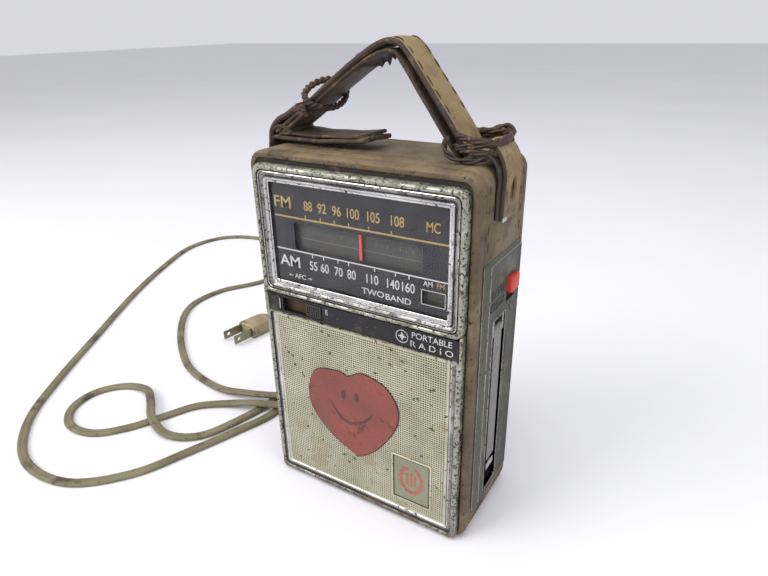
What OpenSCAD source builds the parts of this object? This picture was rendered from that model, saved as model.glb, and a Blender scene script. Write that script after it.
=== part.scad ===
// Pocket radio in a leather case, with a flat side aerial, a carrying strap and a mains lead.
// Millimetres. The front faces -Y, the right side faces +X, and the base is at z = 0.

/* [Case] */
// Width of the leather case
case_w = 109.2; // [108:0.2:110.4]
// Height of the leather case
case_h = 171; // [170:0.5:173]
// Depth of the whole radio, from the front rim to the back
body_d = 57; // [56:0.5:60]
// How far the front frame stands ahead of the leather
frame_d = 5.5; // [5:0.1:6]
// Thickness of the leather
leather_t = 1.5; // [1:0.1:1.6]
// Corner radius of the case, seen from the front
case_r = 7; // [4:0.5:8]
// Corner radius at the back, seen from above
back_r = 8; // [4:0.5:9]
// Wall of the plastic cabinet inside the leather
cabinet_t = 1.5; // [1.2:0.1:1.6]

/* [Front] */
// Width of the front rim
rim_w = 102.3; // [101:0.1:104]
// Height of the top edge of the front rim
rim_top = 166; // [164:0.5:167]
// Corner radius of the front rim
rim_r = 4; // [2:0.5:6]
// Half width of the dial opening
dial_half = 44.5; // [43:0.1:45.5]
// Bottom of the dial opening
dial_bottom = 111.7; // [110:0.1:112]
// Top of the dial opening
dial_top = 159.2; // [158:0.1:161]
// Half width of the grille opening
grille_half = 46; // [44:0.1:47]
// Bottom of the grille opening
grille_bottom = 6.7; // [5:0.1:8]
// Bottom of the black control strip
strip_bottom = 96.3; // [96:0.1:97]
// Top of the black control strip
strip_top = 105.5; // [105:0.1:106.5]

/* [Dial] */
// Radius of the tuning drum, which sets the pointer's travel
drum_r = 15; // [13:0.5:15]
// Radius of the tuning wheel
tuning_r = 22; // [20:0.5:23]
// Radius of the volume wheel
volume_r = 14; // [12:0.5:15]
// How far both wheels stand out of the left side
wheel_out = 2.6; // [1.5:0.1:3]
// Pointer position along the dial
pointer_x = 2; // [-20:1:20]

/* [Sound] */
// Radius of the loudspeaker's flange
speaker_r = 37; // [34:0.5:38]
// Height of the loudspeaker's centre
speaker_z = 51; // [49:0.5:52]
// Radius of the magnet
magnet_r = 15; // [12:0.5:18]

/* [Side panel and aerial] */
// How far the side panel stands proud of the leather
panel_out = 1.3; // [1:0.1:1.6]
// Bottom of the side panel
panel_bottom = 12.8; // [11:0.1:14]
// Top of the side panel
panel_top = 134.3; // [133:0.1:136]
// Width of the folded aerial
aerial_w = 8.6; // [8:0.1:9]
// Thickness of the folded aerial
aerial_t = 3; // [2.8:0.1:3.2]

/* [Strap] */
// Width of the strap
strap_w = 18; // [16:0.5:18]
// Thickness of the strap's outer leather
strap_t = 2.2; // [1.6:0.1:2.4]
// Thickness of the strap's lining
lining_t = 1.6; // [1:0.1:1.8]
// Height of the line that the strap swings about
swing_z = 184; // [183:0.5:185]

/* [Mains lead] */
// Width of the flat twin lead
lead_w = 5.2; // [4.8:0.1:5.4]
// Thickness of the flat twin lead
lead_t = 2.8; // [2.6:0.1:3]
// Distance between the plug's two blades
blade_gap = 12.7; // [12.7:0.1:12.7]
// Turn of the plug on the floor, in degrees
plug_turn = 8; // [0:1:15]

/* [Hidden] */

$fn = 48;
gap = 0.1;                      // assembly gap between pieces that sit on each other
slide_gap = 0.3;                // clearance around pieces that move
run_gap = 0.05;                 // radial clearance of a running fit
through = 1;                    // how far a cutter runs past what it cuts

front_y = -body_d / 2;
back_y = body_d / 2;
lip_y = front_y + frame_d;
case_half = case_w / 2;
cab_back = back_y - leather_t - gap;
cab_back_in = cab_back - cabinet_t;

rim_bottom = 1;
rim_half = rim_w / 2;
flange_t = 1.5;
flange_half = case_half - 1.8;
flange_top = case_h - 2.4;
rib = 1;                        // bar between the strip and the grille

window_y = front_y + 2;
window_t = 1;
plate_y = window_y + window_t + 0.2;
plate_t = 0.8;
scale_half = 32;                // translucent scale window in the dial plate
scale_z = [128.5, 141.2];
flag_x = [31.7, 41.8];          // band window in the dial plate
flag_z = [116.9, 123];
pointer_y = plate_y + plate_t + 0.4;
pointer_t = 0.6;
pointer_half = 0.6;
rail_y = front_y + 6.9;
rail_z = 150;
rail_r = 1;
diffuser_y = pointer_y + pointer_t + 0.9;
bracket_y = front_y + 11.7;
bracket_t = 1;
bracket_half = 46;

tuning_x = -(case_half + wheel_out - tuning_r);
tuning_z = 138;
volume_x = -(case_half + wheel_out - volume_r);
volume_z = 98;
wheel_y = [-1, 4];
shaft_r = 3;
pot_shaft_r = 2.5;
drum_y = [front_y + 9.3, front_y + 10.9];
string_t = 0.7;
string_y = [drum_y[0] + 0.4, drum_y[0] + 1.2];
pulley_x = 41;

board_y = 12;
board_t = 1.6;
post_x = [-42, 28];
post_z = [88, 140];
screw_r = 1;

slot_x = [-40.3, -17.6];        // slot of the tuning-lock slide
slot_z = [97.5, 104.3];
strip_y = front_y + 0.7;
strip_t = 2.3;

grille_y = front_y + 1.1;
grille_t = 1;
baffle_y = grille_y + grille_t + 0.2;
baffle_t = 1.5;
sound_hole_r = 33;
speaker_y = baffle_y + baffle_t + gap;

cell_r = 7.1;
cell_pitch = 14.5;
cell_x0 = -38.5;
cell_y = 17.5;
cell_z = [15, 65];
door_x = [-46.5, 14.5];
door_top = 71.5;
door_t = 2;
hinge_y = back_y - 1.8;
hinge_z = 16;
hinge_r = 1.7;
hinge_pin_r = 0.9;

panel_x = case_half + panel_out;
panel_y = [-19, 21.5];
recess_y = [-8.2, 5.4];
recess_z = [17.5, 106.5];
recess_depth = 5;
aerial_x = panel_x - 1.7;
aerial_y = (recess_y[0] + recess_y[1]) / 2;
aerial_top = 101;
aerial_end = 30;
knob_y = [5.6, 14.9];
knob_z = [114.6, 121.6];
band_travel = 4;
knob_x = [51, 58.2];

jack_y = 8;
jack_z = 74;
jack_r = 1.8;
inlet_x = 24;
inlet_z = 13;

tab_half = strap_w / 2;
tab_t = 2;
swing_r = 9;                    // radius of the strap's root where it meets the swinging part
swing_rise = 6;
wire_r = 1.2;

// Middle line of the strap's outer leather, in x and z, from its left end to its right end
strap_line = [[-52, 176.2], [-39, 184.8], [-21, 198], [-4, 209.5], [5, 213.6], [10, 214.2],
    [14.5, 211.2], [23.5, 199], [31.8, 188], [38, 179], [41, 173.5]];
// Space between the two leathers at each of those points
strap_gaps = [0.3, 0.3, 0.3, 0.6, 1.4, 1.8, 1.8, 2.4, 2.8, 2.6, 1];
// Middle lines of the two leather tabs, in x and z, from the side of the case upwards
right_tab = [[56, 150], [56.3, 160], [56.6, 168], [54.6, 174.5], [51, 178], [46, 177.5]];
left_tab = [[-56, 150], [-56.3, 160], [-56.6, 168], [-55.6, 172], [-52.6, 173.8], [-46, 173.6],
    [-30, 173.6], [-14, 174.4], [-2, 175.6]];

// Middle line of the mains lead, from the grip to the plug
lead_route = [[24, 52, 13], [24, 70, 7], [17, 90, 1.6], [-8, 106, 1.4], [-46, 102, 1.4],
    [-78, 84, 1.4], [-93, 56, 1.4], [-91, 28, 1.4], [-87, 4, 1.4], [-94, -20, 1.4],
    [-104, -47, 1.4], [-117, -76, 1.4], [-142, -98, 1.4], [-178, -99, 1.4], [-212, -78, 1.4],
    [-240, -42, 1.4], [-276, 14, 1.4], [-316, 78, 1.4], [-346, 136, 1.4], [-365, 186, 1.4],
    [-357, 226, 1.4], [-324, 244, 1.4], [-278, 240, 1.4], [-242, 220, 1.4], [-226, 186, 1.4],
    [-234, 151, 1.4], [-251, 120, 1.4], [-250, 84, 1.4], [-222, 49, 1.4], [-178, 17, 1.4],
    [-140, 7, 1.7], [-114, 9, 4.2], [-91, 18, 4.8], [-80, 34, 2.4], [-77, 54, 1.5],
    [-70, 71, 1.4], [-54, 78, 1.4], [-38, 71, 1.4], [-31, 55, 1.4], [-38, 41, 1.4],
    [-58, 29, 2.2], [-80, 12, 4.6], [-102, 2, 4.8], [-119, -4, 2.2], [-134, -15, 1.5],
    [-143, -32, 1.4], [-153, -51, 1.4], [-167, -65, 1.4], [-186, -67, 1.4], [-201, -56, 1.4],
    [-204, -38, 1.4], [-193, -23, 1.6], [-175, -20, 3.2], [-159, -29, 4.7], [-144, -40, 4.8],
    [-126, -44, 2.4], [-109, -34, 1.5], [-100, -10, 1.4], [-96, 14, 1.4], [-99, 40, 1.4],
    [-106, 70, 1.4], [-112, 100, 1.4], [-115, 123, 1.4], [-122, 142, 1.4], [-138, 152, 1.4],
    [-156, 147, 1.5], [-165, 131, 2.2], [-166, 116, 3.8], [-167.8, 104.7, 5]];
long_span = 40;                 // a longer span of the route gets a ring at its middle too
lead_sides = 8;

plug_at = [-172.5, 71, 5.2];
plug_l = 24;
plug_w = 18;
plug_t = 10;
plug_tail = 10;

// A box given by its lowest and highest corners
module block(lo, hi) {
    translate(lo) cube(hi - lo);
}

// A rounded rectangle in x and z, pulled from one y to another
module plate_xz(x, y, z, r) {
    w = x[1] - x[0];
    h = z[1] - z[0];
    translate([x[0], y[1], z[0]]) rotate([90, 0, 0]) linear_extrude(y[1] - y[0]) union() {
        translate([r, 0]) square([w - 2 * r, h]);
        translate([0, r]) square([w, h - 2 * r]);
        for (cx = [r, w - r], cz = [r, h - r]) translate([cx, cz]) circle(r);
    }
}

// A round bar along y
module bar_y(x, z, y, r) {
    translate([x, y[1], z]) rotate([90, 0, 0]) cylinder(h = y[1] - y[0], r = r);
}

// A round bar along x
module bar_x(x, y, z, r) {
    translate([x[0], y, z]) rotate([0, 90, 0]) cylinder(h = x[1] - x[0], r = r);
}

// A tube along y
module tube_y(x, z, y, r, bore) {
    difference() {
        bar_y(x, z, y, r);
        bar_y(x, z, [y[0] - through, y[1] + through], bore);
    }
}

function curve_point(a, b, c, d, t) =
    0.5 * (2 * b + (c - a) * t + (2 * a - 5 * b + 4 * c - d) * t * t
        + (3 * b - a - 3 * c + d) * t * t * t);

// A smooth line through the points of p, with n steps from each to the next
function smooth(p, n) = [
    for (i = [0:len(p) - 2]) for (k = [0:n - 1])
        curve_point(p[max(i - 1, 0)], p[i], p[i + 1], p[min(i + 2, len(p) - 1)], k / n),
    p[len(p) - 1]];

function side_of(q, i) =
    let (d = q[min(i + 1, len(q) - 1)] - q[max(i - 1, 0)])
    [-d[1], d[0]] / norm(d);

// The outline of a leather band of thickness t, moved off its middle line by the list drop
function band(q, t, drop) = concat(
    [for (i = [0:len(q) - 1]) q[i] + side_of(q, i) * (t / 2 - drop[i])],
    [for (i = [len(q) - 1:-1:0]) q[i] - side_of(q, i) * (t / 2 + drop[i])]);

module leather_band(points, t, drop, half) {
    translate([0, half, 0]) rotate([90, 0, 0]) linear_extrude(2 * half)
        polygon(band(points, t, drop));
}

strap_steps = 3;
strap_points = smooth(strap_line, strap_steps);
lining_drop = [for (g = smooth(strap_gaps, strap_steps)) strap_t / 2 + lining_t / 2 + g];
no_drop = [for (p = strap_points) 0];

module strap_leather() {
    leather_band(strap_points, strap_t, no_drop, strap_w / 2);
}

module strap_inside() {
    leather_band(strap_points, lining_t, lining_drop, strap_w / 2);
}

// Everything below the swing line, and a round head above it
module strap_root_space() {
    block([-case_w, -strap_w, 0], [case_w, strap_w, swing_z]);
    bar_x([-case_w, case_w], 0, swing_z, swing_r);
}

// Everything above the swing line that the round head leaves free
module strap_swing_space() {
    difference() {
        block([-case_w, -strap_w, swing_z + swing_rise], [case_w, strap_w, 2 * case_h]);
        bar_x([-case_w - through, case_w + through], 0, swing_z, swing_r + slide_gap + gap);
    }
}

// A square ring of wire with knuckled corners, lying in x and y
module wire_loop(long, wide) {
    for (s = [-1, 1]) {
        translate([-long / 2, s * wide / 2, 0]) rotate([0, 90, 0]) cylinder(h = long, r = wire_r);
        translate([s * long / 2, wide / 2, 0]) rotate([90, 0, 0]) cylinder(h = wide, r = wire_r);
        for (t = [-1, 1]) translate([s * long / 2, t * wide / 2, 0]) sphere(wire_r);
    }
}

// The rounded body of the case from one y to another, its walls moved in by inset
module case_shape(inset, y) {
    half = case_half - inset;
    round_r = back_r - inset;
    intersection() {
        plate_xz([-half, half], y, [inset, case_h - inset], case_r - inset);
        union() {
            block([-half, y[0] - through, -through], [half, y[1] - round_r, case_h + through]);
            block([-half + round_r, y[0] - through, -through],
                [half - round_r, y[1] + through, case_h + through]);
            for (s = [-1, 1]) translate([s * (half - round_r), y[1] - round_r, -through])
                cylinder(h = case_h + 2 * through, r = round_r);
        }
    }
}

// Holes that run through the leather and the cabinet together
module wall_openings() {
    wall = 8;
    block([case_half - wall, recess_y[0] - 1.2, recess_z[0] - 1.2],
        [case_half + wall, recess_y[1] + 1.2, recess_z[1] + 1.2]);
    block([case_half - wall, knob_y[0] - slide_gap, knob_z[0] - band_travel - slide_gap],
        [case_half + wall, knob_y[1] + slide_gap, knob_z[1] + slide_gap]);
    block([-case_half - wall, wheel_y[0] - 0.8, tuning_z - tuning_r + 4],
        [-case_half + wall, wheel_y[1] + 0.8, tuning_z + tuning_r - 4]);
    block([-case_half - wall, wheel_y[0] - 0.8, volume_z - volume_r + 1],
        [-case_half + wall, wheel_y[1] + 0.8, volume_z + volume_r - 1]);
    block([door_x[0] - 0.4, back_y - wall, hinge_z - hinge_r - 0.8],
        [door_x[1] + 0.4, back_y + wall, door_top + 0.4]);
    bar_x([door_x[0] - 3.2, door_x[1] + 3.2], hinge_y, hinge_z, hinge_pin_r + run_gap);
    bar_x([-case_half - wall, -case_half + wall], jack_y, jack_z, 3.4);
    bar_y(inlet_x, inlet_z, [back_y - wall, back_y + wall], 5.1);
}

module screw_holes(r, y) {
    for (x = post_x, z = post_z) bar_y(x, z, y, r);
}

module leather_case() {
    color("saddlebrown") difference() {
        case_shape(0, [lip_y, back_y]);
        case_shape(leather_t, [lip_y - through, back_y - leather_t]);
        wall_openings();
        screw_holes(3.2, [back_y - 3, back_y + through]);
    }
}

module cabinet() {
    color("dimgray") {
        difference() {
            case_shape(leather_t + gap, [lip_y, cab_back]);
            case_shape(leather_t + gap + cabinet_t, [lip_y - through, cab_back_in]);
            wall_openings();
            screw_holes(screw_r + 0.2, [cab_back_in - through, cab_back + through]);
        }
        for (x = [door_x[0] - 3, door_x[1] + 1]) difference() {
            block([x, cab_back_in - 1.5, hinge_z - 3], [x + 2, cab_back, hinge_z + 3]);
            bar_x([x - through, x + 3], hinge_y, hinge_z, hinge_pin_r + run_gap);
        }
    }
}

module front_bezel() {
    color("silver") difference() {
        union() {
            plate_xz([-rim_half, rim_half], [front_y, lip_y - flange_t], [rim_bottom, rim_top],
                rim_r);
            plate_xz([-flange_half, flange_half], [lip_y - flange_t, lip_y],
                [rim_bottom, flange_top], rim_r);
        }
        block([-dial_half, front_y - through, dial_bottom], [dial_half, lip_y + through, dial_top]);
        block([-grille_half, front_y - through, grille_bottom],
            [grille_half, lip_y + through, strip_bottom - rib]);
        block([-rim_half + 2, front_y - through, strip_bottom],
            [rim_half - 1.2, lip_y + through, strip_top]);
    }
}

module dial_window() {
    color("lightgray", 0.3) block([-dial_half + gap, window_y, dial_bottom + gap],
        [dial_half - gap, window_y + window_t, dial_top - gap]);
}

module dial_plate() {
    color("black") difference() {
        block([-dial_half + gap, plate_y, dial_bottom + gap],
            [dial_half - gap, plate_y + plate_t, dial_top - gap]);
        block([-scale_half, plate_y - through, scale_z[0]],
            [scale_half, plate_y + plate_t + through, scale_z[1]]);
        block([flag_x[0], plate_y - through, flag_z[0]],
            [flag_x[1], plate_y + plate_t + through, flag_z[1]]);
    }
}

module dial_diffuser() {
    color("gray") block([-scale_half - 2, diffuser_y, scale_z[0] - 2],
        [scale_half + 2, diffuser_y + 0.8, scale_z[1] + 2]);
}

module dial_bracket() {
    color("lightsteelblue") difference() {
        union() {
            block([-bracket_half, bracket_y, dial_bottom], [bracket_half, bracket_y + bracket_t, 163]);
            for (x = [-bracket_half, bracket_half - 1.5]) {
                block([x, lip_y + 0.5, rail_z - 3], [x + 1.5, drum_y[0] - 0.6, rail_z + 8]);
                block([x, lip_y + 0.5, rail_z + 4], [x + 1.5, bracket_y, rail_z + 8]);
            }
        }
        bar_x([-bracket_half - through, bracket_half + through], rail_y, rail_z, rail_r + run_gap);
        bar_y(tuning_x, tuning_z, [bracket_y - through, bracket_y + 2], shaft_r + 0.6);
    }
}

module pointer_rail() {
    color("gainsboro") bar_x([-bracket_half - 0.5, bracket_half + 0.5], rail_y, rail_z, rail_r);
}

module dial_pointer() {
    color("red") {
        block([pointer_x - pointer_half, pointer_y, scale_z[0] + 0.8],
            [pointer_x + pointer_half, pointer_y + pointer_t, rail_z]);
        difference() {
            block([pointer_x - 4, pointer_y, rail_z - 2.5], [pointer_x + 4, rail_y + 1.8, rail_z + 2.5]);
            bar_x([pointer_x - 5, pointer_x + 5], rail_y, rail_z, rail_r + run_gap);
        }
    }
}

string_r = drum_r + 0.35;
string_top = tuning_z + string_r;
pulley_z = (rail_z + string_top) / 2;
pulley_r = (string_top - rail_z) / 2 - 0.15;
string_end = pulley_x + pulley_r + 0.5;

module dial_cord() {
    color("ivory") {
        tube_y(tuning_x, tuning_z, string_y, string_r + string_t, string_r);
        block([tuning_x, string_y[0], string_top], [string_end, string_y[1], string_top + string_t]);
        block([tuning_x + 11, string_y[0], rail_z - string_t], [string_end, string_y[1], rail_z]);
        block([string_end, string_y[0], rail_z - string_t],
            [string_end + string_t, string_y[1], string_top + string_t]);
    }
}

module dial_pulley() {
    color("gold") bar_y(pulley_x, pulley_z, [string_y[0] - 0.3, bracket_y], pulley_r);
}

module tuning_drum() {
    color("khaki") tube_y(tuning_x, tuning_z, drum_y, drum_r, shaft_r + run_gap);
}

module tuning_shaft() {
    color("gainsboro") bar_y(tuning_x, tuning_z, [drum_y[0] - 0.6, 9], shaft_r);
}

// A thumb wheel with a milled edge
module thumb_wheel(x, z, r, teeth, bore) {
    difference() {
        bar_y(x, z, wheel_y, r);
        bar_y(x, z, [wheel_y[0] - through, wheel_y[1] + through], bore);
        for (i = [0:teeth - 1]) translate([x, 0, z]) rotate([0, i * 360 / teeth, 0])
            block([r - 0.5, wheel_y[0] - through, -0.5], [r + through, wheel_y[1] + through, 0.5]);
    }
}

module tuning_wheel() {
    color("dimgray") thumb_wheel(tuning_x, tuning_z, tuning_r, 44, shaft_r + run_gap);
}

module tuning_capacitor() {
    side = 10;
    color("whitesmoke") difference() {
        block([tuning_x - side, wheel_y[1] + 1, tuning_z - side],
            [tuning_x + side, board_y, tuning_z + side]);
        bar_y(tuning_x, tuning_z, [wheel_y[1], 9.5], shaft_r + run_gap);
    }
}

module volume_wheel() {
    color("dimgray") {
        thumb_wheel(volume_x, volume_z, volume_r, 28, pot_shaft_r - 0.5);
        bar_y(volume_x, volume_z, [wheel_y[0], 9], pot_shaft_r);
    }
}

module volume_control() {
    color("tan") difference() {
        bar_y(volume_x, volume_z, [wheel_y[1] + 1, board_y], 7.3);
        bar_y(volume_x, volume_z, [wheel_y[1], 9.5], pot_shaft_r + run_gap);
    }
}

module control_strip() {
    color("black") {
        difference() {
            block([-rim_half + 2 + gap, strip_y, strip_bottom + gap],
                [rim_half - 1.2 - gap, strip_y + strip_t, strip_top - gap]);
            block([slot_x[0], strip_y - through, slot_z[0]],
                [slot_x[1], strip_y + strip_t + through, slot_z[1]]);
        }
        block([-47.5, strip_y - 0.4, strip_bottom + 1], [-41.7, strip_y + gap, strip_top - 1]);
    }
}

module afc_knob() {
    color("dimgray") block([slot_x[1] - slide_gap - 9, front_y + 0.2, slot_z[0] + slide_gap],
        [slot_x[1] - slide_gap, strip_y + strip_t + 1, slot_z[1] - slide_gap]);
}

module afc_switch() {
    color("gainsboro") block([slot_x[0] - 2, strip_y + strip_t + 1.4, strip_bottom],
        [slot_x[1] + 2, strip_y + strip_t + 7, strip_top]);
}

module name_badge() {
    color("silver") {
        bar_y(24, 101, [strip_y - 0.4, strip_y], 3);
        block([29, strip_y - 0.4, 98.4], [48.5, strip_y, 103.8]);
    }
}

module speaker_grille() {
    color("lightgray") block([-grille_half + gap, grille_y, grille_bottom + gap],
        [grille_half - gap, grille_y + grille_t, strip_bottom - rib - gap]);
}

module heart_sticker() {
    lobe = 13.6;
    reach = 12.6;
    color("firebrick") translate([-3.2, grille_y, 60]) rotate([90, 3, 0]) linear_extrude(0.5) union() {
        for (s = [-1, 1]) translate([s * reach, 0]) circle(lobe);
        polygon([[-24.4, -6.6], [-12, -20], [2, -32], [14, -19], [24.4, -6.6], [13, 0], [0, 7], [-13, 0]]);
    }
}

module corner_badge() {
    color("gold") block([17.8, grille_y - 0.6, 12.4], [38.6, grille_y, 38.2]);
}

module speaker_baffle() {
    color("peru") difference() {
        block([-grille_half + gap, baffle_y, grille_bottom + gap],
            [grille_half - gap, baffle_y + baffle_t, strip_bottom - rib - gap]);
        bar_y(0, speaker_z, [baffle_y - through, baffle_y + baffle_t + through], sound_hole_r);
    }
}

// Turns a profile of radius and depth about the loudspeaker's axis, depth running backwards
module speaker_turn(profile) {
    translate([0, speaker_y, speaker_z]) rotate([-90, 0, 0]) rotate_extrude() polygon(profile);
}

module speaker_frame() {
    color("darkgray") difference() {
        speaker_turn([[sound_hole_r, 0], [speaker_r, 0], [speaker_r, 1.2], [34.5, 1.2],
            [17, 16], [17, 17.4], [0, 17.4], [0, 16.2], [15.8, 16.2], [sound_hole_r, 1.4]]);
        for (a = [0:90:270]) translate([0, speaker_y + 9, speaker_z]) rotate([0, a + 45, 0])
            block([18, -3.4, -6], [40, 3.4, 6]);
    }
}

module speaker_cone() {
    color("gray") speaker_turn([[31.5, 0.4], [32.4, 0.4], [9, 13.2], [9, 13.9], [0, 13.9], [0, 13.1],
        [8.3, 12.7]]);
}

module speaker_magnet() {
    color("silver") speaker_turn([[0, 17.5], [magnet_r, 17.5], [magnet_r, 26.5], [0, 26.5]]);
}

module circuit_board() {
    color("darkgoldenrod") difference() {
        block([-50, board_y, 82], [36, board_y + board_t, 160]);
        screw_holes(1.6, [board_y - through, board_y + board_t + through]);
    }
}

module if_transformers() {
    color("gainsboro") for (i = [0:3]) block([-6 + i * 11, 2, 146], [2 + i * 11, board_y - gap, 154]);
}

module electrolytics() {
    color("royalblue") for (i = [0:3]) bar_y(-8 + i * 13, 96 + (i % 2) * 9, [-1, board_y - gap], 4);
}

module transistors() {
    color("black") for (i = [0:5])
        bar_y(-8 + (i % 3) * 14, 120 + floor(i / 3) * 12, [6, board_y - gap], 2.4);
}

module board_posts() {
    color("tan") for (x = post_x, z = post_z)
        tube_y(x, z, [board_y + board_t + gap, cab_back_in - gap], 3.4, screw_r + run_gap);
}

module case_screws() {
    color("silver") for (x = post_x, z = post_z) difference() {
        union() {
            bar_y(x, z, [cab_back + gap, back_y - 0.3], 2.9);
            bar_y(x, z, [board_y + board_t + 2, cab_back + gap], screw_r);
        }
        block([x - 2.4, back_y - 0.9, z - 0.35], [x + 2.4, back_y, z + 0.35]);
    }
}

module ferrite_rod() {
    color("dimgray") bar_x([-46, 46], 19, 156, 4.5);
}

module ferrite_coil() {
    color("chocolate") difference() {
        bar_x([-30, -10], 19, 156, 5.4);
        bar_x([-31, -9], 19, 156, 4.5 + run_gap);
    }
}

module power_transformer() {
    color("slategray") {
        block([21, -2, 22], [46, 17, 44]);
        block([24, 0, 18], [43, 15, 22]);
        block([24, 0, 44], [43, 15, 48]);
    }
}

module battery_tray() {
    color("dimgray") difference() {
        block([door_x[0], cell_y - cell_r - 1.6, cell_z[0] - 4],
            [door_x[1], cab_back_in - gap, cell_z[1] + 5]);
        block([door_x[0] + 0.8, cell_y - cell_r - 0.4, cell_z[0] - 2.8],
            [door_x[1] - 0.8, cab_back_in + through, cell_z[1] + 3.8]);
        block([door_x[0] - 3, cab_back_in - 2, hinge_z - 3.4],
            [door_x[1] + 3, cab_back_in + through, hinge_z + 3.4]);
    }
}

module batteries() {
    color("steelblue") for (i = [0:3]) translate([cell_x0 + i * cell_pitch, cell_y, cell_z[0]]) {
        cylinder(h = cell_z[1] - cell_z[0] - 1.4, r = cell_r);
        cylinder(h = cell_z[1] - cell_z[0], r = 2.6);
    }
}

module battery_contacts() {
    color("gold") for (i = [0:3]) translate([cell_x0 + i * cell_pitch, cell_y - 1, 0]) {
        translate([0, 0, cell_z[1] + gap]) cylinder(h = 3, r = 4.6);
        translate([0, 0, cell_z[0] - 2.6]) difference() {
            cylinder(h = 2.4, r = 5);
            translate([0, 0, -through]) cylinder(h = 5, r = 4);
        }
    }
}

module battery_door() {
    color("saddlebrown") difference() {
        union() {
            block([door_x[0], back_y - door_t, hinge_z], [door_x[1], back_y, door_top]);
            bar_x(door_x, hinge_y, hinge_z, hinge_r);
        }
        bar_x([door_x[0] - through, door_x[1] + through], hinge_y, hinge_z, hinge_pin_r + run_gap);
    }
}

module door_pin() {
    color("silver") bar_x([door_x[0] - 3, door_x[1] + 3], hinge_y, hinge_z, hinge_pin_r);
}

module earphone_jack() {
    jack_x = [-case_half - 0.6, -case_half + 12];
    color("silver") difference() {
        union() {
            bar_x(jack_x, jack_y, jack_z, 3.2);
            bar_x([jack_x[0], -case_half], jack_y, jack_z, 4.6);
        }
        bar_x([jack_x[0] - through, jack_x[1] + through], jack_y, jack_z, jack_r);
    }
}

module side_panel() {
    color("darkslategray") difference() {
        union() {
            block([case_half, panel_y[0], panel_bottom], [panel_x, panel_y[1], panel_top]);
            block([panel_x - recess_depth - 1, recess_y[0] - 1, recess_z[0] - 1],
                [panel_x - panel_out / 2, recess_y[1] + 1, recess_z[1] + 1]);
        }
        block([panel_x - recess_depth, recess_y[0], recess_z[0]],
            [panel_x + through, recess_y[1], recess_z[1]]);
        block([case_half - through, knob_y[0] - slide_gap, knob_z[0] - band_travel - slide_gap],
            [panel_x + through, knob_y[1] + slide_gap, knob_z[1] + slide_gap]);
    }
}

module band_knob() {
    color("red") block([knob_x[0], knob_y[0], knob_z[0]], [knob_x[1], knob_y[1], knob_z[1]]);
}

module band_switch() {
    color("gainsboro") block([40, 3, 108.5], [knob_x[0] - 0.4, 18, 126]);
}

module band_flag() {
    color("white") block([flag_x[0] - 1, lip_y + 0.2, flag_z[0] - 4.4],
        [flag_x[1] + 1, lip_y + 0.9, flag_z[1] + 1.5]);
}

aerial_half = aerial_w / 2;
pivot_r = 0.9;

module aerial_pivot() {
    color("silver") {
        for (y = [aerial_y - aerial_half - 2, aerial_y + aerial_half + 0.4])
            block([panel_x - recess_depth + gap, y, aerial_top - 2.6],
                [panel_x - 0.3, y + 1.6, recess_z[1] - gap]);
        bar_y(aerial_x, aerial_top, [aerial_y - aerial_half - 1, aerial_y + aerial_half + 1], pivot_r);
    }
}

// A flat aerial section: outer width and thickness, bore width and thickness, and its ends
module aerial_section(w, t, bore_w, bore_t, bottom, top, bore_top) {
    difference() {
        block([aerial_x - t / 2, aerial_y - w / 2, bottom], [aerial_x + t / 2, aerial_y + w / 2, top]);
        block([aerial_x - bore_t / 2, aerial_y - bore_w / 2, bottom - through],
            [aerial_x + bore_t / 2, aerial_y + bore_w / 2, bore_top]);
    }
}

module aerial_base() {
    color("lightgray") difference() {
        union() {
            aerial_section(aerial_w, aerial_t, 7.2, 1.9, aerial_end + 3, aerial_top, 96);
            bar_y(aerial_x, aerial_top, [aerial_y - aerial_half, aerial_y + aerial_half], aerial_t / 2);
        }
        bar_y(aerial_x, aerial_top, [aerial_y - aerial_w, aerial_y + aerial_w], pivot_r + run_gap);
    }
}

module aerial_middle() {
    color("gainsboro") aerial_section(6.8, 1.5, 5.6, 0.8, aerial_end + 1.5, 94, 92.5);
}

module aerial_tip() {
    color("silver") {
        block([aerial_x - 0.2, aerial_y - 2.6, aerial_end - 1], [aerial_x + 0.2, aerial_y + 2.6, 91]);
        block([aerial_x - aerial_t / 2, aerial_y - aerial_half + 0.2, aerial_end - 3],
            [aerial_x + aerial_t / 2, aerial_y + aerial_half - 0.2, aerial_end + 0.5]);
    }
}

module strap_tabs() {
    color("peru") for (line = [right_tab, left_tab]) {
        q = smooth(line, strap_steps);
        leather_band(q, tab_t, [for (p = q) 0], tab_half);
    }
}

module strap_ends() {
    color("saddlebrown") intersection() {
        union() {
            strap_leather();
            strap_inside();
        }
        strap_root_space();
    }
}

module strap_outer() {
    color("sienna") intersection() {
        strap_leather();
        strap_swing_space();
    }
}

module strap_lining() {
    color("chocolate") intersection() {
        strap_inside();
        strap_swing_space();
    }
}

module tie_wires() {
    upper = [28.4, 57];
    lower = [31.6, 56.8];
    color("brown") {
        translate([(upper[0] + upper[1]) / 2, 0, 181.2]) rotate([0, 1.5, 0])
            wire_loop(upper[1] - upper[0], strap_w + 3);
        translate([(lower[0] + lower[1]) / 2, 0, 176.8]) rotate([0, 3, 0])
            wire_loop(lower[1] - lower[0], strap_w + 3);
    }
}

module loose_ring() {
    color("brown") translate([-27.8, 0, 192.7]) rotate([0, -34 + 90, 0]) rotate_extrude()
        translate([strap_w / 2 + 2.6, 0]) circle(wire_r);
}

// One ring of the flat lead: p is its centre and d its direction
function lead_ring(p, d) =
    let (side = cross(d, [0, 0, 1]) / norm(cross(d, [0, 0, 1])), up = cross(side, d) / norm(d))
    [for (k = [0:lead_sides - 1]) let (a = 360 * (k + 0.5) / lead_sides)
        p + side * (lead_w / 2 * cos(a) / cos(180 / lead_sides))
            + up * (lead_t / 2 * sin(a) / cos(180 / lead_sides))];

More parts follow.
